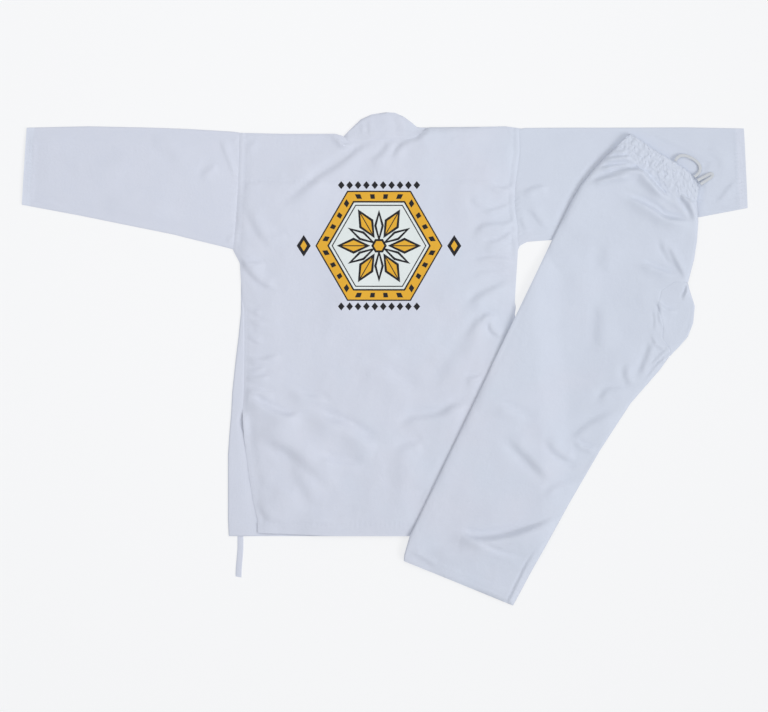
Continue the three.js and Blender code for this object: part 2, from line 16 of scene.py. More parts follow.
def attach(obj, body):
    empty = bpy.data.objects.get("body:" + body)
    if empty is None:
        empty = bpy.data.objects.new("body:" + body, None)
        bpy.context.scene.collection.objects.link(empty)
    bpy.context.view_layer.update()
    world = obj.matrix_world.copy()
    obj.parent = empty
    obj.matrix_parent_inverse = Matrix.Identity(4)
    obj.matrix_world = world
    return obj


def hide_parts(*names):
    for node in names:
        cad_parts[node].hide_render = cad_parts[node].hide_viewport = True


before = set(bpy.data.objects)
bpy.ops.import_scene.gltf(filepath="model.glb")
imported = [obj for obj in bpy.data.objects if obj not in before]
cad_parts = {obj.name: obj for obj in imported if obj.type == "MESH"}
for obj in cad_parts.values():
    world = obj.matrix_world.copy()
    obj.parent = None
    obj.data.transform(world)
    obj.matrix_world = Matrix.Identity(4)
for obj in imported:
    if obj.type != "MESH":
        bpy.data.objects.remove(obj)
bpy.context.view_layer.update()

MM = 0.001
CLOTH = 1.1
BAND_CLOTH = 2
COLLAR_CLOTH = 2.4
SEAM = 0.3
# How far a piece goes on under the one that it is sewn to
SEAM_TUCK = 3.5
OVERLAP = 1.5
LAPEL_WIDTH = 45
CUFF_HEM = 20
BACK_HEM_WIDTH = 22
LEG_HEM_WIDTH = 24
TIE_WIDTH = 11
FOLD_THICK = 3
SIDE_LIFT = 0.7
# How far in a folded edge starts to turn down
EDGE_ROLL = 4
STITCH = 2.6
STITCH_GAP = 1.0
THREAD = 0.36
FRONTS_LIFT = 2.5
NECK_LIFT = 1.6
FLAT_RISE = 0.4
HEM_RISE = 0.8
SLEEVE_PUFF = 1.6
BACK_LOOSE = 2.4
LEG_LOOSE = 2.2
LEG_STACK = 1.4
WAIST_STACK = 6.4
WAISTBAND_THICK = 12.5
BODY_CENTRE = -12.5
HEM_Y = -327
SLIT_TOP = -98
SIDE_FOLD_TOP = 100
YOKE_Y = 328

# Mesh steps
BACK_STEP = 3.4
SLEEVE_STEP = 2.6
LEG_STEP = 2.9
FRONT_STEP = 7

# The photograph's view: straight down, the whole picture's width at the surface, and its centre
VIEW_WIDTH = 1421
VIEW_CENTRE = (-1.4, 5.2)
LENS = 100
SENSOR = 36

# The way to the main light, from the wearer's right: degrees from +X towards +Y
LIGHT_AZIMUTH = -28
LIGHT_WAY = np.array([math.cos(math.radians(LIGHT_AZIMUTH)), math.sin(math.radians(LIGHT_AZIMUTH))])
# Suns: name, azimuth from the main light, elevation, strength, width as an angle
SUNS = [("key", 0, 38, 1.15, 26), ("fill", 80, 48, 0.42, 50)]
# A wide soft light over the collar, so that the hem is a little darker, in watts and metres
TOP_POWER = 11.6
TOP_SIZE = 1.2
TOP_PLACE = (-0.05, 0.42, 2)
SKY = (0.985, 0.99, 1.0, 1)
SKY_STRENGTH = 0.491
FLOOR_COLOUR = (0.26, 0.262, 0.266, 1)
FLOOR_GLOW = 0.666
FLOOR_HALF = 4

# The body's wearer's-left edge: y, x of the outline, x of the back's own edge
SIDE = [
    (-329, -288.5, -235),
    (-297, -290, -235.5),
    (-264, -290, -243),
    (-222, -290, -250),
    (-177, -290, -256),
    (-147, -288, -260),
    (-98, -284, -263),
    (-60, -282, -261),
    (-4, -276, -260),
    (41, -270.5, -260),
    (86, -266, -260.5),
    (145, -266, -266),
    (177, -268, -268),
    (200, -280, -280),
    (232, -277, -277),
    (320, -271, -271),
    (420, -268, -268),
]
# The body's other edge above the trousers: y, x of the outline
ARMHOLE_RIGHT = [
    (83, 240), (115, 241), (165, 244), (196, 246), (247, 245), (281, 240), (320, 241), (380, 249), (427, 248),
]
# The back's upper edge, along the shoulders and the neck seam: x, y
SHOULDER = [
    (-270, 418), (-186, 416), (-90, 416), (-79, 412.5), (-73, 406), (-60, 402), (-48, 400), (-21, 405),
    (40, 406), (56, 410), (68, 418), (82, 428), (177, 429), (220, 430), (248, 426),
]
# The back's hem: x, y
BACK_HEM = [(-235, -322), (-133, -326), (-88, -327.6), (238, -327.6)]
# The collar's outer edge: x, y
COLLAR_EDGE = [
    (-76, 411.5), (-64, 424), (-44, 443), (-24, 452), (3, 456), (19, 455), (35, 448), (50, 437), (59, 429),
    (66, 427.8), (84, 427.6),
]
# A sleeve's two edges from the cuff to the armhole: x, y
SLEEVE_LEFT_TOP = [(-662, 427.5), (-548, 430), (-430, 427.5), (-362, 425), (-281, 420), (-268.6, 418)]
SLEEVE_LEFT_LOW = [(-671, 285), (-564, 265), (-490, 250), (-391, 230), (-300, 207), (-280.6, 202)]
SLEEVE_RIGHT_TOP = [(664, 426), (560, 428), (420, 427.5), (330, 427.5), (262, 427), (248.6, 425)]
SLEEVE_RIGHT_LOW = [
    (671, 279), (582, 262), (490, 246), (391, 229), (330, 221), (290, 218.5), (266, 216.5), (254, 210),
    (246.8, 203),
]

# The trousers' own frame: u across from the outer edge, v down the leg from the waist
LEG_ORIGIN = (413.5, 436.6)
LEG_TURN = math.radians(25.7)
# The leg's outline: v, u of the outer edge, u of the leg panel's inner edge, u of the outline
LEG = [
    (0, 47, 190, 190),
    (35, 32, 203, 203),
    (61, 22, 210, 210),
    (93, 12, 228, 228),
    (127, 4, 242, 242),
    (158, 1, 252, 252),
    (203, 0, 261, 261),
    (214, 0, 236, 270),
    (236, 0, 222, 291),
    (266, 0, 228, 302),
    (293, 0, 253, 304),
    (315, 0, 262, 298),
    (329, 0, 285, 293),
    (340, 0, 289, 290),
    (370, 0, 284, 284),
    (450, 0, 262, 262),
    (550, 0, 249, 249),
    (666, 0, 240, 240),
    (793, 0, 232, 232),
    (848, 0, 230, 230),
    (883, 6, 228, 228),
    (896, 11, 228, 228),
]
# The waist: u, v of its upper edge, v of the casing's lower edge
WAIST = [
    (40, 8, 40), (47, 1, 38), (86, 7, 50), (111, 11, 50), (128, 12, 60), (155, 14, 73), (180, 21, 66),
    (203, 35, 66),
]
# The leg's hem: u, v
LEG_HEM = [(11, 894), (228, 881)]
LEG_FROM = 40
# How far the leg's cloth goes on under the casing
UNDER_CASING = 7
LEG_TO = 894
GUSSET_FROM = 204
GUSSET_TO = 339

# Drawstring routes, as in the part's source: x, y, z
DRAWSTRING = [
    (536.4, 364.7, 9), (539, 370, 8.4), (546, 375, 6.8), (556, 375, 6), (567, 370.5, 6), (577, 363.5, 6),
    (582.5, 354.5, 6), (581, 345, 6.2), (575.5, 339, 7.4), (571.6, 335.9, 8.6),
]
DRAWSTRING_END = [
    (577.6, 329.6, 8.8), (583, 332.5, 7.6), (592, 337.5, 6.4), (600.5, 342, 6.2), (605, 341, 6.2),
    (604, 336.5, 6.2), (595.5, 330.5, 6.4), (588, 325.5, 7.4), (582.8, 322.2, 8.6),
]

# Creases: the line at the foot of the fold's steep side, its width there, its height, its lit side's width
BACK_CREASES = [
    ([(-19, 406), (-47, 389), (-78, 363), (-115, 339), (-137, 321), (-182, 285)], 5, 3.2, 26),
    ([(53, 412), (31, 395), (12, 368)], 3.5, 2.2, 15),
    ([(12, 408), (-4, 380), (-28, 363)], 4, 1.6, 16),
    ([(-99, 416), (-83, 403), (-75, 396), (-63, 398), (-46, 401)], 1.4, 3.0, 7),
    ([(-265, 384), (-237, 408)], 4, 1.2, 14),
    ([(-252, 280), (-237, 241), (-206, 206)], 5, 1.6, 18),
    ([(-261, 326), (-226, 322)], 3, 0.8, 10),
    ([(-210, 230), (-182, 230)], 4, 1.2, 12),
    ([(-266, 184), (-246, 178), (-218, 177)], 2.6, 2.0, 11),
    ([(-263, 174), (-241, 150), (-220, 134), (-200, 131)], 3.4, 2.4, 16),
    ([(-260, 104), (-243, 92), (-226, 90)], 2.4, 1.6, 8),
    ([(-259, 82), (-240, 72), (-220, 66)], 2.4, 1.6, 9),
    ([(-259, 46), (-243, 33), (-226, 26)], 2.4, 1.5, 9),
    ([(162, 300), (170, 285), (201, 276)], 4, 1.4, 14),
    ([(196, 323), (218, 315), (243, 324)], 2.4, 2.4, 10),
    ([(182, 273), (210, 279), (243, 293)], 2.2, 2.2, 10),
    ([(180, 216), (212, 221), (245, 243)], 2.2, 2.2, 10),
    ([(162, 156), (193, 161), (240, 165)], 2.4, 1.5, 10),
    ([(162, 224), (181, 247), (222, 252), (236, 261), (244, 265)], 4, 3.2, 20),
    ([(181, 202), (205, 210), (236, 210)], 5, 1.8, 18),
    ([(162, 182), (200, 188), (245, 182)], 2.4, 2.2, 11),
    ([(153, 99), (185, 123), (236, 150)], 5, 3.0, 22),
    ([(149, 39), (177, 75), (205, 84)], 5, 2.0, 18),
    ([(194, 69), (194, 56), (206, 44), (221, 42)], 2.4, 2.4, 10),
    ([(225, 422), (240, 408)], 3, 1.6, 8),
    ([(122, 411), (138, 409), (162, 404)], 4, 1.0, 10),
    ([(-259, 6), (-231, 0), (-211, 5), (-192, 9)], 2.6, 2.2, 11),
    ([(-260, -20), (-241, -20), (-222, -14)], 2.2, 1.6, 8),
    ([(-261, -31), (-236, -33), (-213, -30)], 2.4, 2.0, 9),
    ([(-256, -54), (-231, -58), (-202, -68)], 3, 2.0, 12),
    ([(-245, -72), (-219, -88), (-185, -103), (-156, -101)], 3.5, 3.4, 22),
    ([(-171, -53), (-148, -68), (-120, -72), (-104, -84)], 4, 2.0, 16),
    ([(-132, -96), (-102, -114), (-69, -125), (-36, -147), (-12, -155)], 6, 4.2, 30),
    ([(-234, -144), (-200, -155), (-163, -177), (-132, -205), (-87, -242)], 8, 3.4, 30),
    ([(-185, -170), (-156, -216), (-132, -268)], 8, 1.6, 28),
    ([(-121, -179), (-87, -192), (-39, -197)], 5, 2.8, 20),
    ([(-232, -211), (-215, -232), (-182, -245)], 7, 0.8, 22),
    ([(-240, -266), (-224, -286), (-206, -298), (-174, -302)], 5, 1.4, 16),
    ([(29, -127), (55, -110), (101, -103), (127, -88), (157, -83)], 5, 3.4, 30),
    ([(18, -170), (48, -159), (70, -155)], 5, 1.8, 18),
    ([(27, -245), (25, -210), (28, -165)], 12, 2.2, 40),
    ([(-47, -12), (0, -23), (25, -42), (62, -64)], 7, 2.2, 34),
    ([(94, -53), (120, -16), (157, 32), (175, 71)], 10, 2.2, 26),
    ([(175, 67), (190, 82), (210, 76)], 3, 1.4, 10),
    ([(149, -35), (183, -33)], 2.6, 2.0, 14),
    ([(-156, -281), (-100, -292), (-45, -284)], 7, 1.2, 26),
    ([(66, -262), (103, -247), (125, -225)], 6, 1.4, 20),
]
COLLAR_CREASES = [
    ([(-30, 441), (-29, 424), (-29, 412)], 2.5, 0.5, 8),
    ([(-44, 434), (-43, 424), (-43, 416)], 2.5, 0.5, 8),
    ([(20, 450), (24, 436), (30, 420)], 4, 0.6, 12),
]
SLEEVE_LEFT_CREASES = [
    ([(-277, 330), (-290, 360), (-299, 386), (-306, 410)], 4, 1.7, 14),
    ([(-342, 333), (-326, 351), (-312, 361)], 5, 1.5, 14),
    ([(-664, 291), (-631, 291), (-592, 284)], 2.4, 2.2, 9),
    ([(-296, 215), (-278, 232)], 3, 2.0, 10),
    ([(-282, 408), (-271, 409)], 3, 1.4, 8),
    ([(-600, 385), (-535, 367), (-470, 371)], 9, 0.9, 30),
    ([(-526, 300), (-452, 293), (-385, 274)], 9, 0.9, 30),
    ([(-433, 404), (-400, 385), (-378, 356)], 8, 0.8, 26),
]
SLEEVE_RIGHT_CREASES = [
    ([(253, 306), (278, 318), (303, 323)], 4, 2.4, 16),
    ([(263, 280), (276, 266), (286, 252), (300, 238)], 4, 1.7, 14),
    ([(248, 262), (256, 246), (264, 232)], 4, 1.5, 8),
    ([(254, 233), (280, 231), (305, 238)], 3, 2.0, 9),
    ([(608, 284), (629, 311), (649, 332)], 4, 2.0, 16),
    ([(473, 422), (495, 409), (525, 385)], 6, 0.8, 20),
    ([(593, 385), (614, 371), (625, 345)], 6, 1.0, 18),
]
LEG_CREASES = [
    ([(396, 352), (426, 356), (462, 359)], 2.2, 3.6, 8),
    ([(404, 369), (430, 372), (460, 374)], 2.2, 3.4, 7),
    ([(424, 381), (438, 384), (456, 385)], 2, 2.6, 6),
    ([(382, 326), (403, 332), (430, 337), (452, 338)], 2.6, 3.4, 9),
    ([(396, 335), (429, 345), (468, 349), (488, 332), (508, 309), (524, 295)], 3, 6.4, 15),
    ([(473, 326), (521, 293), (571, 254)], 4, 1.0, 10),
    ([(446, 300), (470, 290), (496, 276), (515, 262), (540, 256), (564, 252)], 3.6, 5.0, 16),
    ([(516, 327), (528, 319), (539, 309), (549, 297), (559, 282), (567, 267), (571, 252)], 3.4, 4.2, 10),
    ([(521, 210), (532, 192), (542, 172), (555, 148)], 2.6, 2.2, 9),
    ([(508, 222), (514, 204), (528, 184), (546, 160)], 3.4, 1.8, 10),
    ([(475, 178), (503, 167), (538, 153)], 3, 2.8, 12),
    ([(559, 143), (557, 128), (549, 109)], 1.6, 2.2, 7),
    ([(500, 112), (507, 92), (506, 74), (517, 50)], 1.8, 1.2, 8),
    ([(496, 92), (499, 70), (497, 52)], 2.0, 1.0, 8),
    ([(504, 107), (520, 93), (540, 89)], 1.8, 1.8, 8),
    ([(494, 40), (500, 26), (518, 12)], 1.6, 1.2, 7),
    ([(540, 21), (518, 2), (498, -16), (478, -45)], 1.2, 1.6, 4),
    ([(527, 24), (506, 4), (488, -14)], 1.2, 1.2, 4),
    ([(399, 162), (405, 187), (408, 213)], 8, 1.6, 24),
    ([(395, 15), (395, 62), (399, 108)], 7, 1.7, 30),
    ([(468, -35), (484, 2), (493, 32)], 4, 2.4, 10),
    ([(447, -7), (445, -31), (456, -51)], 4, 2.0, 12),
    ([(395, -81), (414, -57), (455, -57)], 4, 1.8, 16),
    ([(342, -149), (379, -120), (431, -96)], 5, 2.2, 18),
    ([(298, -146), (312, -168), (334, -184), (354, -187)], 5, 3.4, 20),
    ([(352, -152), (371, -162), (392, -167)], 2.4, 2.4, 9),
    ([(228, -146), (243, -162), (264, -184), (284, -204), (304, -222)], 6, 3.2, 20),
    ([(207, -83), (234, -96), (262, -107)], 5, 1.6, 16),
    ([(292, -253), (321, -233), (355, -227)], 5, 2.0, 16),
    ([(140, -323), (179, -332), (242, -321), (316, -292)], 5, 7.0, 22),
    ([(166, -338), (182, -345), (209, -358), (256, -371)], 3, 1.4, 14),
    ([(86, -349), (136, -355), (199, -355)], 6, 1.8, 20),
    ([(48, -355), (70, -369), (94, -384)], 4, 1.6, 12),
    ([(223, -466), (229, -447), (246, -412), (262, -379), (280, -350)], 1.6, 1.6, 7),
]


# Small tools

def along(table, at, column=1):
    """The value of a column of a table at places along its first column."""
    rows = sorted(table)
    return np.interp(at, [row[0] for row in rows], [row[column] for row in rows])


def smooth(value, low, high):
    """0 below low, 1 above high, and a soft ramp between."""
    share = np.clip((np.asarray(value, float) - low) / (high - low), 0, 1)
    return share * share * (3 - 2 * share)


def fall(value, low, high):
    """1 below low, 0 above high, and a soft ramp between."""
    return 1 - smooth(value, low, high)


def mix(a, b, share):
    return a + (b - a) * share


def soft_floor(value, softness=0.5):
    """value, but never below 0, with a soft turn there."""
    return 0.5 * (value + np.sqrt(value * value + softness * softness))


def bell(value, width):
    return np.exp(-((value / width) ** 2))


def noise(x, y, size, seed):
    """Smooth random waves from -1 to 1, size millimetres apart."""
    lattice = np.random.default_rng(seed).uniform(-1, 1, (64, 64))
    column, across = np.divmod(x / size + 1000, 1)
    row, up = np.divmod(y / size + 1000, 1)
    column, row = column.astype(int) % 64, row.astype(int) % 64
    across = across * across * (3 - 2 * across)
    up = up * up * (3 - 2 * up)
    beside, above = (column + 1) % 64, (row + 1) % 64
    low = mix(lattice[column, row], lattice[beside, row], across)
    high = mix(lattice[column, above], lattice[beside, above], across)
    return mix(low, high, up)


def smooth_line(points, count=28):
    """A smooth line through points, as an array."""
    points = np.array(points, float)
    padded = np.vstack([2 * points[0] - points[1], points, 2 * points[-1] - points[-2]])
    at = np.linspace(0, len(points) - 1, count)
    k = np.minimum(at.astype(int), len(points) - 2)
    t = (at - k)[:, None]
    a, b, c, d = padded[k], padded[k + 1], padded[k + 2], padded[k + 3]
    return 0.5 * (2 * b + (c - a) * t + (2 * a - 5 * b + 4 * c - d) * t**2 + (3 * b - a - 3 * c + d) * t**3)


def creases(table, x, y, broad=1.7, tall=1.9):
    """Height of folds: steep on the side away from the light, long and soft on the lit side."""
    rise = np.zeros_like(x)
    for points, width, height, lit in table:
        width, height = broad * width, tall * height
        line = smooth_line(points)
        reach = 3 * lit
        low, high = line.min(0) - reach, line.max(0) + reach
        near = (x > low[0]) & (x < high[0]) & (y > low[1]) & (y < high[1])
        if not near.any():
            continue
        p = np.stack([x[near], y[near]], -1)[:, None, :]
        a, way = line[:-1], np.diff(line, axis=0)
        share = np.clip(((p - a) * way).sum(-1) / (way * way).sum(-1), 0, 1)
        away = p - (a + way * share[..., None])
        nearest = (away * away).sum(-1).argmin(1)
        pick = np.arange(len(nearest))
        away, share = away[pick, nearest], share[pick, nearest]
        side = np.stack([way[:, 1], -way[:, 0]], -1) / np.hypot(way[:, 0], way[:, 1])[:, None]
        if side.mean(0) @ LIGHT_WAY < 0:
            side = -side
        d = (away * side[nearest]).sum(-1)
        beyond = (away * away).sum(-1) - d * d
        at = (nearest + share) / len(way)
        taper = smooth(at, -0.08, 0.3) * fall(at, 0.7, 1.08) * np.exp(-beyond / 80)
        crest = 0.5 * (1 + np.tanh(d / width)) * bell(np.maximum(d, 0), lit)
        foot = 0.5 * bell(d + 0.9 * width, 0.9 * width)
        rise[near] += height * taper * (crest - foot)
    return rise


def crumple(x, y, seed):
    """Low waves and small crinkles all over a cloth."""
    wide = 1.3 * noise(x, y, 70, seed) + 0.6 * noise(x, y, 37, seed + 1)
    fine = 0.09 * noise(x + 0.5 * y, y - 0.5 * x, 13, seed + 2) + 0.05 * noise(x, y, 6, seed + 3)
    crinkle = -0.16 * np.abs(noise(x - 0.4 * y, y + 0.4 * x, 28, seed + 4))
    return wide + fine + crinkle


def seam(away, at, depth=0.9, width=1.3, pucker=0.5, pitch=9, seed=1):
    """A sewn line: a narrow trough with small puckers, at a distance from it and a place along it."""
    phase = 2 * math.pi * at / pitch + 2.2 * noise(at, 0 * at, 2.3 * pitch, seed)
    strength = 0.6 + 0.4 * noise(at, 0 * at, 3.1 * pitch, seed + 7)
    return -depth * bell(away, width) + pucker * strength * np.sin(phase) * bell(away, 0.8 * pitch)


def sunk(inside, depth=1.3):
    """How far a piece's edge goes down where it is sewn on, at a distance inside the seam."""
    return depth * fall(inside, -2.5, 1.5)


# Outlines of the body and the trousers

def body_edge(side, y, column):
    left = along(SIDE, y, column)
    if side > 0:
        return left
    return mix(2 * BODY_CENTRE - left, along(ARMHOLE_RIGHT, y), smooth(y, 60, 100))


def outline(side, y):
    return body_edge(side, y, 1)


def back_edge(side, y):
    return body_edge(side, y, 2)


def armhole(side, y):
    return along(SIDE, y, 2) + OVERLAP if side > 0 else along(ARMHOLE_RIGHT, y) - OVERLAP


ACROSS = np.array([math.cos(LEG_TURN), -math.sin(LEG_TURN)])
DOWN = np.array([-math.sin(LEG_TURN), -math.cos(LEG_TURN)])


def from_leg(u, v):
    return LEG_ORIGIN[0] + u * ACROSS[0] + v * DOWN[0], LEG_ORIGIN[1] + u * ACROSS[1] + v * DOWN[1]


def to_leg(x, y):
    dx, dy = x - LEG_ORIGIN[0], y - LEG_ORIGIN[1]
    return dx * ACROSS[0] + dy * ACROSS[1], dx * DOWN[0] + dy * DOWN[1]


def pressed(x, y):
    """1 under the trousers and right beside them, 0 clear of them."""
    u, v = to_leg(x, y)
    inside = np.minimum.reduce([u - along(LEG, v, 1), along(LEG, v, 3) - u, v + 5, 905 - v])
    return smooth(inside, -16, -4)


# Meshes

def add_object(name, data):
    made = bpy.data.objects.new(name, data)
    bpy.context.scene.collection.objects.link(made)
    return made


def mesh_object(name, points, faces, material):
    mesh = bpy.data.meshes.new(name)
    # A face with two corners in one is a triangle
    corners = [list(dict.fromkeys(face)) for face in np.asarray(faces).tolist()]
    mesh.from_pydata((np.asarray(points) * MM).tolist(), [], corners)
    mesh.update()
    mesh.polygons.foreach_set("use_smooth", [True] * len(mesh.polygons))
    mesh.set_sharp_from_angle(angle=math.radians(60))
    mesh.materials.append(material)
    made = add_object(name, mesh)
    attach(made, "root")
    return made


def grid_faces(across, down, start, closed=False, flip=False):
    i, j = np.meshgrid(np.arange(across if closed else across - 1), np.arange(down - 1), indexing="ij")
    at = lambda a, b: start + (a % across) * down + b
    quads = np.stack([at(i, j), at(i + 1, j), at(i + 1, j + 1), at(i, j + 1)], -1).reshape(-1, 4)
    return quads[:, ::-1] if flip else quads


def wall(outer, inner, around=False):
    """Points and faces of a closed cloth wall between two grids of points, which may go all round."""
    across, down = outer.shape[:2]
    count = across * down
    points = np.concatenate([outer.reshape(-1, 3), inner.reshape(-1, 3)])
    faces = [grid_faces(across, down, 0, around), grid_faces(across, down, count, around, flip=True)]

    def add_rim(here, after, turned):
        quad = np.stack([here, count + here, count + after, after], -1)
        faces.append(quad[:, ::-1] if turned else quad)

    i = np.arange(across if around else across - 1)
    for j in (0, down - 1):
        add_rim(i * down + j, (i + 1) % across * down + j, j > 0)
    if not around:
        j = np.arange(down - 1)
        for i in (0, across - 1):
            add_rim(i * down + j, i * down + j + 1, i == 0)
    return points, np.concatenate(faces)


def capped(rings):
    """A closed solid from a ring of lines, with a fan at each end."""
    around, down = rings.shape[:2]
    middles = [rings[:, 0].mean(0), rings[:, -1].mean(0)]
    points = np.concatenate([rings.reshape(-1, 3), middles])
    here = np.arange(around) * down
    after = np.roll(here, -1)
    first = np.full(around, around * down)
    fans = [
        np.stack([here, after, first, first], -1),
        np.stack([after + down - 1, here + down - 1, first + 1, first + 1], -1),
    ]
    return points, np.concatenate([grid_faces(around, down, 0, closed=True, flip=True), *fans])


def outward(points, faces):
    """The faces, turned so that the closed mesh's volume is positive."""
    a, b, c, d = (points[faces[:, k]] for k in range(4))
    volume = (np.cross(b, c) * a).sum() + (np.cross(c, d) * a).sum()
    return faces if volume > 0 else faces[:, ::-1]


def shell(name, parts, material):
    """One object from closed walls."""
    all_points, all_faces, start = [], [], 0
    for points, faces in parts:
        all_points.append(points)
        all_faces.append(outward(points, faces) + start)
        start += len(points)
    return mesh_object(name, np.concatenate(all_points), np.concatenate(all_faces), material)


def stacked(x, y, under, thick, rims=(0.55, 0.55, 0.55, 0.55)):
    """A wall over a grid of places, from under up to thick above it, and less thick at its four rims."""
    thick = thick + 0 * x
    thin = thick.copy()
    for edge, share in zip((np.s_[0, :], np.s_[-1, :], np.s_[:, 0], np.s_[:, -1]), rims):
        thin[edge] *= share
    low = under + 0.15 * (thick - thin)
    return wall(np.stack([x, y, low + thin], -1), np.stack([x, y, low], -1))


def stitches(name, made, lines, jacket=True):
    """Rows of stitches along lines on a piece's upper face, each a short thread with its ends in the cloth.

    A jacket's stitches stop where the trousers lie on them.
    """
    tree = BVHTree.FromPolygons([v.co for v in made.data.vertices], [p.vertices for p in made.data.polygons])
    turns = np.linspace(0, 2 * math.pi, 7)[:-1]
    out = THREAD / 2 * np.array([0.6, 1, 1, 0.6])[:, None] * np.array([np.cos(turns), np.sin(turns)])[:, None]
    arch = THREAD * np.array([-0.5, 0.25, 0.25, -0.5])
    rings = []
    for line in lines:
        line = np.array(line, float)
        length = np.concatenate([[0], np.cumsum(np.hypot(*np.diff(line, axis=0).T))])
        for start in np.arange(0, length[-1] - STITCH, STITCH + STITCH_GAP):
            at = start + STITCH * np.array([0, 0.25, 0.75, 1])
            x, y = (np.interp(at, length, line[:, k]) for k in (0, 1))
            starts = [Vector((a * MM, b * MM, 0.05)) for a, b in zip(x, y)]
            hits = [tree.ray_cast(place, Vector((0, 0, -1)))[0] for place in starts]
            if None in hits or (jacket and pressed(x, y).max() > 0.5):
                continue
            z = np.array([hit.z / MM for hit in hits]) + arch
            way = np.array([x[3] - x[0], y[3] - y[0]]) / STITCH
            ring = [x[:, None] - way[1] * out[0], y[:, None] + way[0] * out[0], z[:, None] + out[1]]
            rings.append(np.stack(ring, -1))
    here = np.arange(18)
    beside = here // 6 * 6 + (here + 1) % 6
    sides = np.stack([here, beside, beside + 6, here + 6], -1)
    one = np.concatenate([sides, [[3, 2, 1, 0], [5, 4, 3, 0], [18, 19, 20, 21], [18, 21, 22, 23]]])
    faces = (24 * np.arange(len(rings))[:, None, None] + one).reshape(-1, 4)
    points = np.array(rings).reshape(-1, 3)
    mesh_object(name + "_stitches", points, outward(points, faces), thread_look)


def cloth_piece(name, node, parts, lines=(), look=None, jacket=True):
    """A piece of cloth from closed walls, its rows of stitches, and what it stands for.
    """
    made = shell(name, parts, look or cloth_look)
    if lines:
        stitches(name, made, lines, jacket)
    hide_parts(node)


def plain_grid(across, down):
    return np.meshgrid(np.linspace(0, 1, across), np.linspace(0, 1, down), indexing="ij")


# Materials

class Nodes:
    """A new material. Each call adds a shader node and returns its output."""

    def __init__(self, name):
        self.material = bpy.data.materials.new(name)
        self.material.use_nodes = True
        self.tree = self.material.node_tree
        self.shader = self.tree.nodes["Principled BSDF"]

    def link(self, value, socket):
        if isinstance(value, bpy.types.NodeSocket):
            self.tree.links.new(value, socket)
        else:
            socket.default_value = value

    def math(self, operation, a, b=0.0, c=0.0):
        node = self.tree.nodes.new("ShaderNodeMath")
        node.operation = operation
        for value, socket in zip((a, b, c), node.inputs):
            self.link(value, socket)
        return node.outputs[0]

    def blend(self, share, first, second):
        node = self.tree.nodes.new("ShaderNodeMix")
        node.data_type = "RGBA"
        colours = [s for s in node.inputs if s.type == "RGBA"]
        self.link(share, node.inputs[0])
        self.link(first, colours[0])
        self.link(second, colours[1])
        return [s for s in node.outputs if s.type == "RGBA"][0]

    def place(self):
        """x and y in millimetres."""
        coords = self.tree.nodes.new("ShaderNodeTexCoord")
        apart = self.tree.nodes.new("ShaderNodeSeparateXYZ")
        self.tree.links.new(coords.outputs["Object"], apart.inputs[0])
        return [self.math("MULTIPLY", apart.outputs[k], 1000.0) for k in range(3)]

    def noise(self, scale, detail=3.0):
        coords = self.tree.nodes.new("ShaderNodeTexCoord")
        node = self.tree.nodes.new("ShaderNodeTexNoise")
        self.tree.links.new(coords.outputs["Object"], node.inputs["Vector"])
        node.inputs["Scale"].default_value = scale
        node.inputs["Detail"].default_value = detail
        return node.outputs[0]

    def finish(self, inputs):
        for name, value in inputs.items():
            self.link(value, self.shader.inputs[name])

    def bump(self, height, strength, distance, after=None):
        node = self.tree.nodes.new("ShaderNodeBump")
        self.link(height, node.inputs["Height"])
        node.inputs["Strength"].default_value = strength
        node.inputs["Distance"].default_value = distance
        if after is not None:
            self.tree.links.new(after, node.inputs["Normal"])
        return node.outputs[0]


WEAVE_PITCH = 0.75
WHITE = (0.616, 0.664, 0.756, 1)
TINTED = (0.630, 0.652, 0.738, 1)
SHADE = (0.578, 0.618, 0.722, 1)
# A cuff's hem is painted paler, in part a painted highlight that lifts the shade of its rows of stitches. It
# starts where |x| with its slant over y passes this many millimetres
CUFF_HEM_PAINTED_LIGHT = (0.682, 0.720, 0.815, 1)
CUFF_SLANT = 0.056
CUFF_HEM_FROM = 670
# One over the millimetres that the hem's tint takes to start
CUFF_HEM_RAMP = 0.25


def cloth_material(name, artwork=None):
    nodes = Nodes(name)
    x, y, z = nodes.place()
    turn = 2 * math.pi / WEAVE_PITCH
    warp = nodes.math("SINE", nodes.math("MULTIPLY", nodes.math("ADD", x, z), turn))
    weft = nodes.math("SINE", nodes.math("MULTIPLY", nodes.math("ADD", y, z), turn))
    weave = nodes.math("MULTIPLY", warp, weft)
    slub = nodes.noise(900.0, 2.0)
    cloud = nodes.noise(28.0, 4.0)
    # The photo's cloth is a little warmer towards the wearer's left
    drift = nodes.math("MULTIPLY_ADD", nodes.noise(9.0, 2.0), 3.0, -0.5)
    pale = nodes.blend(nodes.math("MULTIPLY_ADD", x, -0.003, drift), WHITE, TINTED)
    # Cuff hems painted paler, partly as painted light over the shade of their rows of stitches
    to_cuff = nodes.math("MULTIPLY_ADD", y, CUFF_SLANT, nodes.math("ABSOLUTE", x))
    hem_painted_light = nodes.math("MULTIPLY_ADD", to_cuff, CUFF_HEM_RAMP, -CUFF_HEM_RAMP * CUFF_HEM_FROM)
    pale = nodes.blend(hem_painted_light, pale, CUFF_HEM_PAINTED_LIGHT)
    mottle = nodes.math("MULTIPLY_ADD", slub, 0.5, nodes.math("MULTIPLY", cloud, 0.4))
    colour = nodes.blend(mottle, pale, SHADE)
    if artwork is not None:
        colour = artwork(nodes, x, y, colour)
    crinkle = nodes.bump(nodes.noise(210.0, 3.0), 0.22, 0.0012)
    nodes.finish({
        "Base Color": colour,
        "Roughness": nodes.math("MULTIPLY_ADD", slub, 0.1, 0.82),
        "Normal": nodes.bump(nodes.math("MULTIPLY_ADD", weave, 0.5, slub), 0.25, 0.0003, crinkle),
        "Sheen Weight": 0.12,
        "Sheen Roughness": 0.5,
        "Specular IOR Level": 0.25,
    })
    return nodes.material


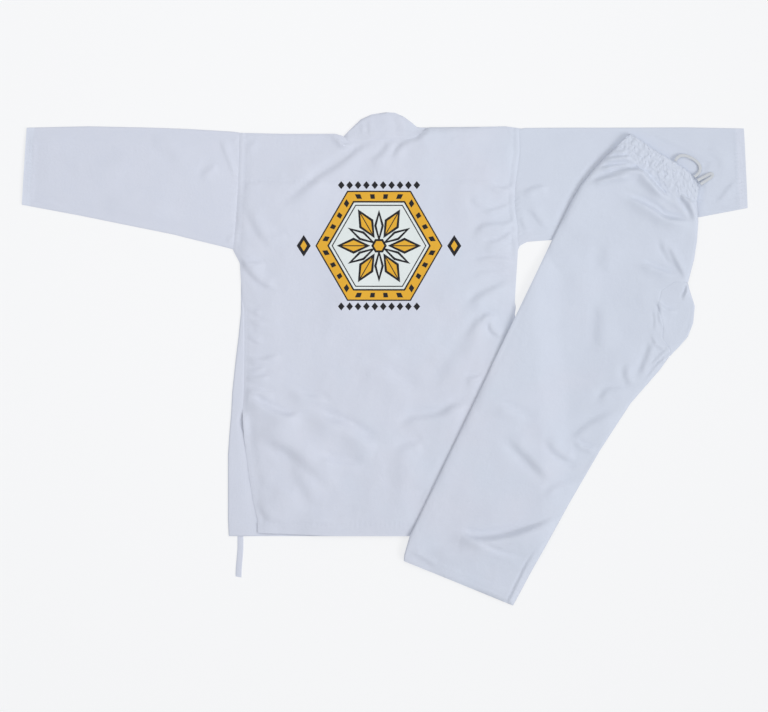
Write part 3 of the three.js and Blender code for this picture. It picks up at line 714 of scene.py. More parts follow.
# The printed badge on the back: its centre, the radius of its six corners, and its frame's width
BADGE_CENTRE = (-10.6, 208.7)
BADGE_RADIUS = 117.5
BADGE_FRAME = 21
ORANGE = (0.72, 0.39, 0.035, 1)
BLACK = (0.016, 0.016, 0.019, 1)
PALE = (0.70, 0.75, 0.75, 1)
# Diamonds, outer one first: how far out along their axis, half their length, half their width, colour
LONG_PETALS = [(47, 31, 15, BLACK), (47, 23, 10, ORANGE)]
SHORT_PETALS = [(37, 30, 9, BLACK), (37, 19, 4.5, PALE)]
SIDE_DIAMONDS = [(139, 13, 20, BLACK), (139, 6, 10, ORANGE)]
ROW_DIAMOND = (6.2, 7.5)
ROW_AWAY = 112
ROW_PITCH = 15.5
TOOTH_HALF = 0.045


def badge(nodes, x, y, cloth):
    """A generic printed badge: a hexagon with a twelve-pointed star, between straight rows of diamonds."""
    do = nodes.math
    px = do("SUBTRACT", x, BADGE_CENTRE[0])
    py = do("SUBTRACT", y, BADGE_CENTRE[1])
    ax, ay = do("ABSOLUTE", px), do("ABSOLUTE", py)
    flatness = math.sqrt(3) / 2
    # Distance from the middle to the flat sides, on any of them
    hexagon = do("MAXIMUM", do("MULTIPLY_ADD", ax, flatness, do("MULTIPLY", ay, 0.5)), ay)
    # One sixth of the star, folded on to its axis
    turn = do("ARCTAN2", py, px)
    sixth = math.pi / 3
    bent = do("ABSOLUTE", do("SUBTRACT", do("FLOORED_MODULO", turn, sixth), sixth / 2))
    radius = do("SQRT", do("MULTIPLY_ADD", px, px, do("MULTIPLY", py, py)))

    def polar(angle):
        return do("MULTIPLY", radius, do("COSINE", angle)), do("MULTIPLY", radius, do("SINE", angle))

    def within(value, edge):
        return do("LESS_THAN", value, edge)

    def between(value, low, high):
        return do("MULTIPLY", do("GREATER_THAN", value, low), within(value, high))

    def diamond(dx, dy, wide, high):
        share = do("MULTIPLY_ADD", do("ABSOLUTE", dx), 1 / wide, do("MULTIPLY", do("ABSOLUTE", dy), 1 / high))
        return within(share, 1.0)

    def diamonds(table, dx, dy):
        return [(diamond(do("SUBTRACT", dx, away), dy, wide, high), ink) for away, wide, high, ink in table]

    short = polar(bent)
    long = polar(do("SUBTRACT", sixth / 2, bent))
    frame_out = BADGE_RADIUS * flatness
    frame_in = frame_out - BADGE_FRAME
    lines = ((frame_out - 2.5, frame_out), (frame_in - 1, frame_in + 2), (frame_in - 7, frame_in - 5))
    bar = do("SUBTRACT", do("FLOORED_MODULO", turn, sixth / 4), sixth / 8)
    cell = do("SUBTRACT", do("FLOORED_MODULO", px, ROW_PITCH), ROW_PITCH / 2)
    row = diamond(cell, do("SUBTRACT", ay, ROW_AWAY), *ROW_DIAMOND)
    # Teeth of the frame, as short bars across it
    on_frame = between(hexagon, frame_in + 6, frame_out - 6.5)
    teeth = do("MULTIPLY", within(do("ABSOLUTE", bar), TOOTH_HALF), on_frame)
    layers = [
        (within(hexagon, frame_in), PALE),
        (between(hexagon, frame_in, frame_out), ORANGE),
        *((between(hexagon, low, high), BLACK) for low, high in lines),
        *diamonds(LONG_PETALS, *long),
        (do("MULTIPLY", within(long[1], 0.9), between(long[0], 18, 74)), BLACK),
        *diamonds(SHORT_PETALS, *short),
        (within(hexagon, 12.5), BLACK),
        (within(hexagon, 8.5), ORANGE),
        (teeth, BLACK),
        (do("MULTIPLY", row, within(ax, 5 * ROW_PITCH)), BLACK),
        *diamonds(SIDE_DIAMONDS, ax, py),
    ]
    colour = cloth
    for share, ink in layers:
        colour = nodes.blend(share, colour, ink)
    return colour


def strand_material(name, noise, colours, bump, finish):
    """A material of fine twisted fibres."""
    nodes = Nodes(name)
    fibre = nodes.noise(*noise)
    nodes.finish({"Base Color": nodes.blend(fibre, *colours), "Normal": nodes.bump(fibre, *bump), **finish})
    return nodes.material


# Camera, light and floor

def studio():
    scene = bpy.context.scene
    scene.view_settings.view_transform = "Standard"
    camera = add_object("camera", bpy.data.cameras.new("camera"))
    camera.data.lens = LENS
    camera.data.sensor_width = SENSOR
    camera.data.clip_end = 50
    distance = VIEW_WIDTH * LENS / SENSOR
    camera.location = (VIEW_CENTRE[0] * MM, VIEW_CENTRE[1] * MM, distance * MM)
    scene.camera = camera
    for name, azimuth, elevation, strength, angle in SUNS:
        light = add_object(name, bpy.data.lights.new(name, "SUN"))
        light.data.energy = strength
        light.data.angle = math.radians(angle)
        light.rotation_euler = (math.radians(90 - elevation), 0, math.radians(90 + LIGHT_AZIMUTH + azimuth))
    top = add_object("top", bpy.data.lights.new("top", "AREA"))
    top.data.energy = TOP_POWER
    top.data.size = TOP_SIZE
    top.location = TOP_PLACE
    world = bpy.data.worlds.new("soft_white")
    world.use_nodes = True
    background = world.node_tree.nodes["Background"]
    background.inputs[0].default_value = SKY
    background.inputs[1].default_value = SKY_STRENGTH
    scene.world = world
    mesh = bpy.data.meshes.new("floor")
    corners = [(a * FLOOR_HALF, b * FLOOR_HALF, 0) for a, b in ((-1, -1), (1, -1), (1, 1), (-1, 1))]
    mesh.from_pydata(corners, [], [(0, 1, 2, 3)])
    floor = add_object("floor", mesh)
    floor.location.z = -0.3 * MM
    nodes = Nodes("pale_floor")
    nodes.finish({
        "Base Color": FLOOR_COLOUR, "Roughness": 1.0, "Specular IOR Level": 0.0, "Emission Color": SKY,
        "Emission Strength": FLOOR_GLOW,
    })
    mesh.materials.append(nodes.material)


# Drawstring: a flat braid along its route

BRAID_WIDTH = 5.6
BRAID_THICK = 1.7
BRAID_PITCH = 2.4


def unit(ways):
    return ways / np.linalg.norm(ways, axis=1)[:, None]


def braid(name, route, material):
    """A flat braid with its own slanting strands raised on it, and the imported cord that it stands for
    hidden.
    """
    line = smooth_line(route, 90)
    way = unit(np.gradient(line, axis=0))
    side = unit(np.cross(way, [0, 0, 1]))
    up = np.cross(side, way)
    length = np.concatenate([[0], np.cumsum(np.linalg.norm(np.diff(line, axis=0), axis=1))])
    rings = []
    for turn in np.linspace(0, 2 * math.pi, 29)[:-1]:
        across, high = math.cos(turn), math.sin(turn)
        strand = 0.16 * np.sin(2 * math.pi * (length / BRAID_PITCH + 1.1 * abs(across)))
        flat = math.copysign(abs(high) ** 0.7, high) * BRAID_THICK / 2
        out = flat * (1 + strand * abs(high))
        rings.append(line + side * (across * BRAID_WIDTH / 2) + up * out[:, None])
    outer = np.array(rings)
    inner = line + 0.15 * (outer - line)
    made = shell(name + "_braid", [wall(outer, inner, around=True)], material)
    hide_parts(name)


studio()
braid_look = strand_material(
    "cream_braid", (1500.0, 2.0), ((0.60, 0.625, 0.66, 1), (0.50, 0.525, 0.56, 1)), (0.4, 0.0004),
    {"Roughness": 0.8, "Sheen Weight": 0.2},
)
for cord_name, cord_route in (("drawstring", DRAWSTRING), ("drawstring_end", DRAWSTRING_END)):
    braid(cord_name, cord_route, braid_look)


# Jacket

cloth_look = cloth_material("white_cloth")
thread_look = strand_material(
    "white_thread", (2500.0, 1.0), ((0.66, 0.69, 0.77, 1), (0.56, 0.59, 0.68, 1)), (0.3, 0.0001),
    {"Roughness": 0.5},
)
back_look = cloth_material("white_cloth_printed", artwork=badge)


def back_under(x, y):
    from_side = np.minimum(x - back_edge(1, y), back_edge(-1, y) - x)
    from_top = along(SHOULDER, x) - y
    inside = smooth(from_side, 2, 65) * smooth(from_top, 0, 70)
    over_neck = (1 - inside) * fall(abs(x + 5), 75, 115)
    # Where only one front lies below the hem, the hem lies lower
    low_hem = fall(y - HEM_Y, 0, 50) * fall(x, -168, -132) * smooth(from_side, 12, 45)
    lift = SIDE_LIFT * smooth(from_side, 0, 14) + FRONTS_LIFT * inside + NECK_LIFT * over_neck
    return FOLD_THICK - 1.2 + lift - 2.8 * low_hem


def at_neck(x):
    return smooth(x, -82, -74) * fall(x, 74, 84)


def yoke_line(x):
    return YOKE_Y + 1.2 * noise(x, 0 * x, 60, 12)


def back_relief(x, y):
    """How far the back stands off what it lies on: creases, hem, seam allowances and rows of stitching."""
    from_left = x - back_edge(1, y)
    from_right = back_edge(-1, y) - x
    from_side = np.minimum(from_left, from_right)
    from_hem = y - along(BACK_HEM, x)
    from_top = along(SHOULDER, x) - y
    free = smooth(from_top, -2, 12) * mix(0.15, 1, smooth(from_hem, 0, 30))
    clear = 1 - pressed(x, y)
    folds = creases(BACK_CREASES, x, y) + 2.2 * crumple(x, y, 3)
    loose = BACK_LOOSE * smooth(from_side, 0, 26) + clear * folds * smooth(from_side, 0, 11)
    rise = free * smooth(from_side, 0, 5) * soft_floor(loose)
    # Sewn edges go down to the pieces beside them
    sewn = smooth(y, SLIT_TOP + 2, SLIT_TOP + 8)
    rise -= sewn * (sunk(from_left) + sunk(from_right))
    rise -= at_neck(x) * sunk(from_top, 0.6)
    # Hem, doubled, with its row of stitches
    rise += clear * 0.6 * fall(from_hem, BACK_HEM_WIDTH - 2, BACK_HEM_WIDTH + 1.5)
    rise += clear * seam(from_hem - BACK_HEM_WIDTH + 1, x, seed=11)
    # Yoke line across the shoulders
    yoke = clear * smooth(from_left, 0, 8) * smooth(from_right, 0, 8)
    rise += yoke * seam(y - yoke_line(x), x, depth=1.1, width=1.6, pitch=7, seed=12)
    # Seam allowances along the armholes, and the side's topstitching above the slit
    at_sleeve = smooth(y, 182, 205)
    at_side = fall(y, 105, 130) * smooth(y, SLIT_TOP - 4, SLIT_TOP + 4)
    at_slit = fall(y, SLIT_TOP - 8, SLIT_TOP)
    slit_height = 0.5 * smooth(-y, 240, 315) - 0.4 * smooth(-y, 150, 180)
    for away, seed in ((from_left, 13), (from_right, 14)):
        rise += at_sleeve * 0.6 * fall(away, 0, 9)
        rise += clear * at_sleeve * 0.45 * fall(away, 8.5, 11) * smooth(away, 0, 2.5)
        rise += clear * at_sleeve * seam(away - 9.5, y, depth=0.8, width=1.6, pucker=0.6, pitch=8, seed=seed)
        rise += clear * at_side * seam(away - 4.5, y, depth=0.6, pucker=0.4, pitch=8, seed=seed + 2)
        # The slit's narrow hem, and its edge lifted a little below the bar tack
        slit_hem = 0.5 * fall(away, 7, 9.5) + seam(away - 7.5, y, depth=0.3, seed=seed + 4)
        rise += clear * at_slit * (slit_hem + slit_height * fall(away, 0, 12))
        rise += clear * bell(y - SLIT_TOP + 22, 22) * 3.0 * fall(away, 0, 16)
    # Shoulder edge, rolled over on either side of the neck
    rise -= 1.4 * fall(from_top, 0, 4) * (1 - at_neck(x))
    rise += smooth(from_top, 0, 6) * seam(from_top - 10, x, depth=0.15, pucker=0.25, pitch=11, seed=21)
    return rise


def build_back():
    s, t = plain_grid(int(516 / BACK_STEP) + 1, int(745 / BACK_STEP) + 1)
    across = mix(-268, 248, s)
    high = along(SHOULDER, across) + 2.5 * at_neck(across)
    low = along(BACK_HEM, mix(-235, 210, s))
    y = mix(low, high, t)
    # The cloth runs on into the seams
    side_tuck = 2.2 * smooth(y, SLIT_TOP, SLIT_TOP + 10) * fall(y, 95, 105)
    into_seam = smooth(y, 200, 208) * SEAM_TUCK + side_tuck
    x = mix(back_edge(1, y) - into_seam, back_edge(-1, y) + into_seam, s)
    under = np.maximum(back_under(x, y) + back_relief(x, y), 0.05)
    at = np.linspace(0, 1, 80)
    hem_x, yoke_x = mix(-228, 226, at), mix(-262, 232, at)
    rows = [
        np.stack([hem_x, along(BACK_HEM, hem_x) + BACK_HEM_WIDTH - 1], -1),
        np.stack([yoke_x, yoke_line(yoke_x) + 0.3], -1),
    ]
    for side in (1, -1):
        for low_y, high_y, away in ((205, 413, 9.5), (SLIT_TOP + 3, 105, 4.5), (-318, SLIT_TOP - 4, 7.5)):
            row_y = mix(low_y, high_y, at)
            rows.append(np.stack([back_edge(side, row_y) + side * away, row_y], -1))
        # Bar tack at the slit's top
        for tack_y in (SLIT_TOP, SLIT_TOP + 1, SLIT_TOP + 2):
            edge = back_edge(side, tack_y)
            rows.append([(edge + side * 0.5, tack_y), (edge + side * 11, tack_y)])
    parts = [stacked(x, y, under, CLOTH, (0.8, 0.8, 0.55, 0.8))]
    cloth_piece(
        "back_panel", "jacket_back", parts,
        lines=rows, look=back_look,
    )


COLLAR_ROWS = (7, 16, 25, 34)


def build_collar():
    s, t = plain_grid(90, 20)
    base = mix(-74, 78, s)
    edge = mix(-76, 84, s)
    x = mix(base, edge, t)
    line_y = along(SHOULDER, base)
    y = mix(line_y - SEAM_TUCK, along(COLLAR_EDGE, edge), t)
    away = t * (along(COLLAR_EDGE, edge) - line_y)
    join = back_under(base, line_y) + back_relief(base, line_y) + sunk(0, 0.6) + CLOTH - COLLAR_CLOTH
    under = join * fall(t, 0.15, 1) - sunk(y - line_y, 0.8)
    relief = 0.9 * np.sin(math.pi * s) + 1.2 * noise(x, y, 24, 31) + 0.3 * noise(x, y, 9, 32)
    for k, row in enumerate(COLLAR_ROWS):
        relief += seam(away - row, x, depth=0.12, pucker=0.06, pitch=7, seed=33 + k)
    relief += creases(COLLAR_CREASES, x, y)
    from_ends = np.minimum(smooth(s, 0, 0.06), fall(s, 0.94, 1))
    free = from_ends * smooth(t, 0, 0.12) * fall(t, 0.9, 1)
    lift = soft_floor(relief * free, 0.2) * smooth(t, 0, 0.1)
    rows = []
    for row in COLLAR_ROWS:
        places = [(x, along(SHOULDER, x) + row) for x in np.linspace(-70, 66, 60)]
        rows.append([(x, y) for x, y in places if y < along(COLLAR_EDGE, x) - 4])
    parts = [stacked(x, y, under + lift, COLLAR_CLOTH, (0.6, 0.6, 1, 0.6))]
    cloth_piece("collar_band", "collar_back", parts, lines=rows)


def band_edge(side, y):
    """x of a front's crossed edge."""
    at_neck_x = -18 if side > 0 else -36
    return BODY_CENTRE + side * mix(112, at_neck_x, smooth(y, 20, 415))


def front_place(side, s, y):
    band = band_edge(side, y) - side * LAPEL_WIDTH
    inset = np.where((y > SLIT_TOP) & (y < SIDE_FOLD_TOP), 2.5, 0.2)
    if side > 0:
        return mix(outline(1, y) + inset, band - SEAM, s)
    return mix(band + SEAM, outline(-1, y) - inset, s)


def band_lift(side, x, y):
    """How high a front or its band lies: the right one is over the left one's band."""
    if side > 0:
        return 0 * x
    return (BAND_CLOTH + SEAM) * fall(x - band_edge(1, y), 42, 75)


# The half round at a front's side: away from the outline, height outside, away inside, height inside
SIDE_FOLD = [
    (3.5, 0, 3.5, 1.2), (1.6, 0.12, 2.4, 1.25), (0.5, 0.7, 1.6, 1.35), (0, 1.5, 1.2, 1.5),
    (0.5, 2.3, 1.6, 1.65), (1.6, 2.88, 2.4, 1.75), (3.2, 3, 3.2, 1.8),
]


def side_fold(side, low):
    """A front's cloth turned over at the side, to the back's seam and below it to the slit's edge."""
    y = np.linspace(low + 1, 180, 150)
    base = outline(side, y)
    # Higher up the back's edge lies on the fold, and its height is less there
    tall = 1 - 0.48 * smooth(y, SIDE_FOLD_TOP - 8, SIDE_FOLD_TOP + 12)
    in_slit = fall(y, SLIT_TOP - 5, SLIT_TOP)
    gape = in_slit * (bell(y - SLIT_TOP + 22, 16) * 6 - 1.9 * (1 - bell(y - SLIT_TOP + 22, 20)))
    line_at = side * (back_edge(side, y) - base)
    sewn = smooth(y, SLIT_TOP + 2, SLIT_TOP + 8)
    reach = np.maximum(line_at + mix(0.3, OVERLAP, sewn) - gape, 4)
    rise = 0.5 + 0.5 * noise(y, 0 * y, 30, 45)

    def line(away, height):
        return np.stack([base + side * away, y, tall * height], -1)

    outer = [line(away, height) for away, height, _, _ in SIDE_FOLD]
    inner = [line(away, height) for _, _, away, height in SIDE_FOLD]
    for share in np.linspace(0.15, 1, 8):
        away = mix(3.2, reach, share)
        hump = 0.7 * rise * math.sin(math.pi * min(share, 0.999)) - 0.9 * in_slit * smooth(share, 0.5, 1)
        stitched = hump + 0.6 * seam(reach - away - 5, y, depth=0.3, pucker=0.3, pitch=8, seed=46)
        stitched -= sewn * sunk(line_at - away)
        outer.append(line(away, FOLD_THICK + stitched))
        inner.append(line(away, FOLD_THICK - CLOTH + stitched))
    return wall(np.array(outer), np.array(inner))


# The two fronts: side, name, its hem's y, what it lies on
FRONTS = [(1, "left", HEM_Y - 1, "floor"), (-1, "right", HEM_Y + 4, "front_panel_left")]


def build_fronts():
    """The two fronts and the bands along them. Their tops follow the shoulders."""
    for side, name, low, below in FRONTS:
        s, y = np.meshgrid(np.linspace(0, 1, 44), np.linspace(low, 414, int(740 / FRONT_STEP)), indexing="ij")
        x = front_place(side, s, y)
        y = np.where(y >= 414, along(SHOULDER, x) - 1, y)
        from_hem = y - low
        shows = fall(side * (x - outline(side, y)), 40, 70)
        hem = shows * (0.3 + seam(from_hem - 20, x, depth=0.25, seed=41)) * fall(from_hem, 22, 26)
        parts = [stacked(x, y, band_lift(side, x, y) + np.maximum(hem, 0), 1.2), side_fold(side, low)]
        row_y = np.linspace(SLIT_TOP + 4, 95, 40)
        # The other side seam is under the trousers
        rows = [np.stack([back_edge(1, row_y) - 5, row_y], -1)] if side > 0 else []
        cloth_piece(
            "front_panel_" + name, "jacket_front_" + name, parts,
            lines=rows,
        )
    for side, name, low, below in FRONTS:
        s, y = np.meshgrid(np.linspace(0, 1, 16), np.linspace(low, 398, int(725 / FRONT_STEP)), indexing="ij")
        edge = band_edge(side, y)
        x = mix(edge - side * LAPEL_WIDTH, edge, s)
        sewn = sum(seam(s * LAPEL_WIDTH - 4 - 9 * k, y, depth=0.3, pucker=0.1) for k in range(5))
        parts = [stacked(x, y, band_lift(side, x, y), BAND_CLOTH + 0.25 * sewn)]
        cloth_piece("lapel_band_" + name, "lapel_" + name, parts)


CUFF_ROWS = (4, 9, 14, 19)


def build_sleeve(side, name, top, low, table, seed):
    """A flat hollow tube between a sleeve's two edges, its end following the armhole."""
    half = FOLD_THICK / 2
    length = abs(top[-1][0] - top[0][0])
    share = np.linspace(0, 1, int(length / SLEEVE_STEP) + 1)

    def edge_line(edge, share):
        x = mix(edge[0][0], edge[-1][0], share)
        return np.array([x, along(edge, x)])

    high, base = edge_line(top, share), edge_line(low, share)
    wide = np.hypot(*(high - base))

    def place(away):
        """x and y of each ring of the tube, at a distance across it from its lower edge."""
        part = away / wide
        x, y = mix(base, high, part)
        end = mix(low[-1][0], top[-1][0], part)
        return x + (armhole(side, y) - end) * smooth(share, 0.8, 1), y

    def level(away, height):
        x, y = place(away)
        return np.stack([x, y, height + 0 * x], -1)

    def upper(away, lower):
        x, y = place(away)
        ends = smooth(share, 0, 0.12) * fall(share, 0.88, 1)
        near_end = smooth(share, 0, 0.05) * fall(share, 0.97, 1)
        edge = smooth(np.minimum(away, wide - away), 2, 30)
        puff = SLEEVE_PUFF * np.sin(math.pi * away / wide) * ends
        folds = near_end * soft_floor(0.5 + creases(table, x, y) + 1.1 * crumple(x, y, seed))
        cuff = share * length
        hem = HEM_RISE * fall(cuff, CUFF_HEM - 1, CUFF_HEM + 1.5)
        sewn = sum(
            seam(cuff - row, away, depth=0.8, width=1.1, pucker=0.3, pitch=6.5, seed=seed + 20 + k)
            for k, row in enumerate(CUFF_ROWS)
        )
        from_seam = length * (1 - share) - OVERLAP
        armhole_seam = seam(from_seam - 2, away, depth=0.1, width=2.0, pitch=10, seed=seed + 30)
        relief = hem + puff + folds + sewn * smooth(away, 0, 6) + armhole_seam
        rise = FLAT_RISE + (1 - pressed(x, y)) * relief
        return np.stack([x, y, FOLD_THICK - lower + edge * np.maximum(rise, 0.1) - sunk(from_seam)], -1)

    def ring(lower):
        """The tube's outer face, or its inner one with lower at the cloth's thickness."""
        radius = half - lower
        turns = np.linspace(0, math.pi, 11)[1:-1]
        rows = [level(mix(EDGE_ROLL, wide - EDGE_ROLL, part), lower) for part in np.linspace(1, 0, 16)]
        reach = EDGE_ROLL - lower
        rows += [level(EDGE_ROLL - reach * math.sin(turn), half - radius * math.cos(turn)) for turn in turns]
        for part in np.linspace(0, 1, int(wide.mean() / SLEEVE_STEP)):
            rows.append(upper(mix(EDGE_ROLL, wide - EDGE_ROLL, part), lower))
        for turn in turns[::-1]:
            rows.append(level(wide - EDGE_ROLL + reach * math.sin(turn), half - radius * math.cos(turn)))
        return np.array(rows)

    rows = []
    for row in CUFF_ROWS:
        (x0, y0), (x1, y1) = edge_line(low, row / length), edge_line(top, row / length)
        rows.append([(x0, y0 + 4), (x1, y1 - 4)])
    parts = [wall(ring(0), ring(CLOTH), around=True)]
    cloth_piece("sleeve_tube_" + name, "sleeve_" + name, parts, lines=rows)


def build_tie():
    s, t = plain_grid(12, 40)
    y = mix(-404, HEM_Y - 1 - SEAM, t)
    middle = mix(-270.5, -267, smooth(y, -400, -345))
    x = middle + mix(-TIE_WIDTH / 2, TIE_WIDTH / 2, s)
    y = y + mix(1.5, -0.5, s) * (1 - t)
    away = np.minimum(s, 1 - s) * TIE_WIDTH
    sewn = seam(away - 2, y, depth=0.35, width=0.8, pucker=0.2, pitch=6)
    thick = 1.2 + 0.35 * smooth(away, 0, 2.5) + 0.5 * sewn
    rows = [[(x + 4.0, -400), (x + 7.5, -345), (x + 7.5, -331)] for x in (-278, -271)]
    parts = [stacked(x, y, 0 * x, thick)]
    cloth_piece("tie_strip", "jacket_tie", parts, lines=rows)


# Trousers

def support(x, y):
    """The height that the trousers lie at: on the back, on the sleeve, or on the surface beside them."""
    flat_back = FOLD_THICK + SIDE_LIFT + FRONTS_LIFT + BACK_LOOSE + SEAM
    flat_sleeve = FOLD_THICK + FLAT_RISE + SEAM
    beside_body = x - np.maximum(outline(-1, y), 246)
    on_body = flat_back * fall(beside_body, 22, 85)
    below_sleeve = along(SLEEVE_RIGHT_LOW, x) - y
    on_sleeve = flat_sleeve * fall(below_sleeve, 22, 70)
    above_hem = fall(HEM_Y - y, 22, 85)
    return np.maximum(on_body * above_hem, on_sleeve)


def hidden_thick(v):
    return LEG_STACK + WAIST_STACK * fall(v, 60, 230)


def leg_edge_distance(u, v):
    return np.minimum.reduce([u - along(LEG, v, 1), along(LEG, v, 3) - u, along(LEG_HEM, u) - v])


def hidden_top(x, y):
    u, v = to_leg(x, y)
    at_edge = fall(leg_edge_distance(u, v), 0, 6)
    return support(x, y) + hidden_thick(v) * (1 - 0.3 * at_edge)


def leg_point(row, s, outer, inner):
    """A place on the leg, its rows bent to the casing at one end and to the hem at the other."""
    reach = 90
    rough = mix(outer(row), inner(row), s)
    near_casing = np.maximum(0, 1 - (row - LEG_FROM) / reach)
    near_hem = np.maximum(0, 1 - (LEG_TO - row) / reach)
    to_casing = (along(WAIST, rough, 2) - UNDER_CASING - LEG_FROM) * near_casing
    v = row + to_casing + (along(LEG_HEM, rough) - LEG_TO) * near_hem
    return mix(outer(v), inner(v), s), v


LEG_HEM_ROWS = (4, 13, 22)
# Gathers at the waist: place across the casing from 0 to 1, width in millimetres, height
GATHERS = [
    (0.03, 4, 1.6), (0.11, 3.2, 2.2), (0.17, 2.6, 1.5), (0.25, 4.2, 2.6), (0.32, 2.4, 1.4), (0.39, 3.4, 2.3),
    (0.47, 4.4, 2.7), (0.55, 3, 1.8), (0.62, 3.8, 2.5), (0.69, 2.6, 1.7), (0.77, 4, 2.4), (0.85, 3.2, 2.0),
    (0.93, 3.6, 2.2),
]
CASING_WIDTH = 165


def gathers(s):
    return sum(height * bell((s - place) * CASING_WIDTH, width * 1.25) for place, width, height in GATHERS)


def at_gusset(v):
    return smooth(v, GUSSET_FROM, GUSSET_FROM + 10) * fall(v, GUSSET_TO - 10, GUSSET_TO)


def leg_under(x, y, s, way=1):
    """The leg's lower face, or with way at -1 the gusset's."""
    u, v = to_leg(x, y)
    away = leg_edge_distance(u, v)
    below = v - along(WAIST, u, 2)
    wave = 0.55 * gathers(s) * fall(below, 3, 16 + 12 * noise(u, 0 * u, 13, 53))
    drift = noise(u, v, 60, 51)
    inner = smooth(away, 0, 8) * smooth(below, -6, 3)
    folds = creases(LEG_CREASES, x, y) + 1.7 * crumple(x, y, 52) + 0.4 * drift
    hem = along(LEG_HEM, u) - v
    side = np.minimum(u - along(LEG, v, 1), along(LEG, v, 3) - u)
    loose = LEG_LOOSE * mix(0.5, 1, smooth(side, 0, 16)) * mix(0.75, 1, smooth(hem, 0, 9))
    rise = wave + soft_floor(loose + inner * folds) - 1.2 * fall(below, -5, 1)
    rise += 0.5 * fall(hem, LEG_HEM_WIDTH - 2, LEG_HEM_WIDTH + 1) * smooth(hem, 0, 3)
    for k, row in enumerate(LEG_HEM_ROWS):
        sewn = seam(hem - row, u, depth=0.35, width=1.0, pucker=0.12, pitch=8, seed=55 + k)
        rise += 0.8 * sewn * smooth(away, 0, 6)
    # Edges rolled down on to the hidden layers
    rise -= 0.9 * fall(side, 0, 2.5)
    from_seam = u - along(LEG, v, 2)
    rise += at_gusset(v) * seam(from_seam, v, depth=0.1, width=1.6, pucker=0.3, pitch=8, seed=54)
    return hidden_top(x, y) + SEAM + np.maximum(rise, 0.05) - at_gusset(v) * sunk(-way * from_seam)


def build_leg_right():
    def outer(v):
        return along(LEG, v, 1)

    def inner(v):
        return along(LEG, v, 2) + OVERLAP * at_gusset(v)

    rows = np.linspace(LEG_FROM, LEG_TO, int((LEG_TO - LEG_FROM) / LEG_STEP) + 1)
    s, row = np.meshgrid(np.linspace(0, 1, 101), rows, indexing="ij")
    x, y = from_leg(*leg_point(row, s, outer, inner))
    parts = [stacked(x, y, leg_under(x, y, s), CLOTH, (0.55, 0.95, 0.9, 0.55))]
    u = np.linspace(14, 225, 60)
    cloth_piece(
        "leg_panel", "trouser_leg_right", parts,
        lines=[np.stack(from_leg(u, along(LEG_HEM, u) - away), -1) for away in LEG_HEM_ROWS], jacket=False,
    )


def build_gusset():
    s, v = np.meshgrid(np.linspace(0, 1, 26), np.linspace(GUSSET_FROM, GUSSET_TO, 46), indexing="ij")
    # Its seam allowance goes on under the leg's cloth
    x, y = from_leg(mix(along(LEG, v, 2) - OVERLAP * at_gusset(v), along(LEG, v, 3), s), v)
    parts = [stacked(x, y, leg_under(x, y, 1 + 0 * s, way=-1), CLOTH, (0.95, 0.55, 0.9, 0.9))]
    cloth_piece("gusset_panel", "trouser_gusset", parts)


# Round each edge of the hidden layers: share of the stack's height, how far in
LAYER_EDGE = [
    (0.02, 1.5), (0.1, 0.5), (0.2, 0), (0.32, 0.3), (0.42, 1.6), (0.5, 2.6), (0.56, 1.6), (0.66, 0.3),
    (0.78, 0), (0.9, 0.4), (0.97, 1.2),
]


def build_leg_layers():
    """The layers below the leg that shows, as one rounded solid with grooves between them at its edges."""
    rows = np.linspace(LEG_FROM, LEG_TO, 190)
    end_inset = np.where(rows == rows[0], 16, 0) + np.where(rows == rows[-1], -3, 0)

    def outer(v):
        return along(LEG, v, 1) + 1.2

    def inner(v):
        return along(LEG, v, 3) - 1.2

    def layer(s, inward, height):
        u, v = leg_point(rows, s + 0 * rows, outer, inner)
        x, y = from_leg(u + inward, v + end_inset)
        return np.stack([x, y, mix(support(x, y), hidden_top(x, y), height)], -1)

    # Near the waist the lower layers lie further in
    further = 6 * fall(rows, 40, 260)
    ring = [layer(1, -3, 0)]
    ring += [layer(s, 0, 0) for s in np.linspace(1, 0, 14)[1:-1]]
    ring += [layer(0, 3, 0)]
    ring += [layer(0, inset + further * (1 - height), height) for height, inset in LAYER_EDGE]
    ring += [layer(0, 3, 1)]
    ring += [layer(s, 0, 1) for s in np.linspace(0, 1, 22)[1:-1]]
    ring += [layer(1, -3, 1)]
    ring += [layer(1, -inset, height) for height, inset in reversed(LAYER_EDGE)]
    cloth_piece(
        "leg_layers", "trouser_leg_left", [capped(np.array(ring))],
    )


CASING_ROW_PITCH = 10.5
CASING_ROW_FROM = 6


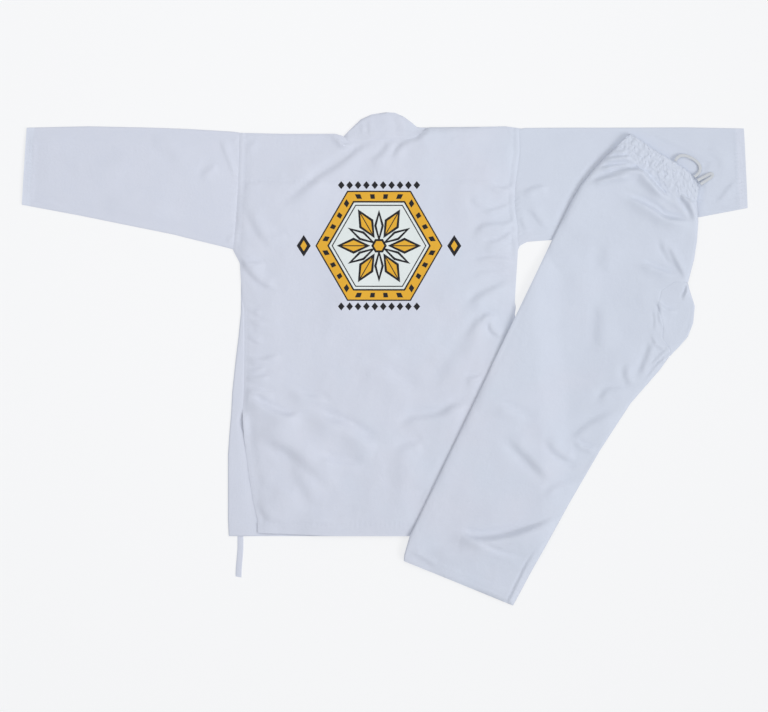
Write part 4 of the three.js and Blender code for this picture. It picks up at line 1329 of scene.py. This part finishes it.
def build_waistband():
    """The gathered casing round the elastic, folded into four layers, with its rows of stitches."""
    s = np.linspace(0, 1, 230)
    u = mix(41.5, 202, s)
    fine = 0.5 * noise(u, 0 * u, 4.2, 71)
    high = along(WAIST, u, 1) + 1.1 - 0.3 * gathers(s) - 0.7 * fine
    low = along(WAIST, u, 2) - SEAM + 2.6 * noise(u, 0 * u, 12, 76) + 1.2 * noise(u, 0 * u, 5, 79)
    thick = WAISTBAND_THICK * np.sin(math.pi * mix(0.12, 0.88, s)) ** 0.35 - 1.2

    def at(v, height):
        """A place on the casing, its ends slanting in line with the legs' edges."""
        slant = 0.27 * smooth(s, 0.65, 1) - 0.32 * fall(s, 0, 0.35)
        x, y = from_leg(u + slant * (v - high), v)
        return np.stack([x, y, support(x, y) + height], -1)

    ring = [at(mix(high, low, t), 0) for t in (0.96, 0.8, 0.6, 0.4, 0.2, 0.06)]
    for k in range(4):
        for part in np.linspace(0.08, 0.92, 7):
            inset = 1.5 * (2 * abs(part - 0.5)) ** 2
            wobble = 0.5 * noise(u, 0 * u + 9 * k, 7, 72)
            ring.append(at(high + inset + wobble, thick * (k + part) / 4))
    leg_top = LEG_STACK + WAIST_STACK + SEAM + LEG_LOOSE + CLOTH
    for t in np.linspace(0.02, 1, 56):
        away = t * (low - high)
        from_row = away - CASING_ROW_FROM
        rows = sum(bell(from_row - CASING_ROW_PITCH * k, 1.5) for k in range(4))
        bulge = 0.25 * np.abs(np.sin(math.pi * from_row / CASING_ROW_PITCH)) - 2.6 * fall(t, 0, 0.12)
        ridges = 0.9 + 0.18 * gathers(s + 0.02 * noise(u, away, 14, 73))
        ridges += 0.6 * noise(u + 0.2 * away, away / 2, 5.2, 74)
        ridges += 0.45 * noise(u - 0.3 * away, away / 1.3, 3.4, 75)
        # Thin creases where the cloth is gathered, along it and slanting
        ridges -= 0.7 * bell(noise(u + 0.15 * away, away / 2.2, 5.0, 77), 0.25)
        ridges -= 0.7 * bell(noise(u - 0.6 * away, away / 1.5, 6.5, 78), 0.22)
        height = thick + 1 + bulge + ridges - 0.25 * rows
        on_leg = np.minimum(leg_top, height) - 0.4 + 0.3 * ridges
        ring.append(at(high + away, mix(height, on_leg, smooth(t, 0.8, 1))))
    ring += [at(low, thick * 0.5), at(low, thick * 0.25)]
    cloth_piece(
        "waistband_casing", "waistband", [capped(np.array(ring))],
    )


build_back()
build_collar()
build_fronts()
build_sleeve(1, "left", SLEEVE_LEFT_TOP, SLEEVE_LEFT_LOW, SLEEVE_LEFT_CREASES, 100)
build_sleeve(-1, "right", SLEEVE_RIGHT_TOP, SLEEVE_RIGHT_LOW, SLEEVE_RIGHT_CREASES, 200)
build_tie()
build_leg_layers()
build_leg_right()
build_gusset()
build_waistband()
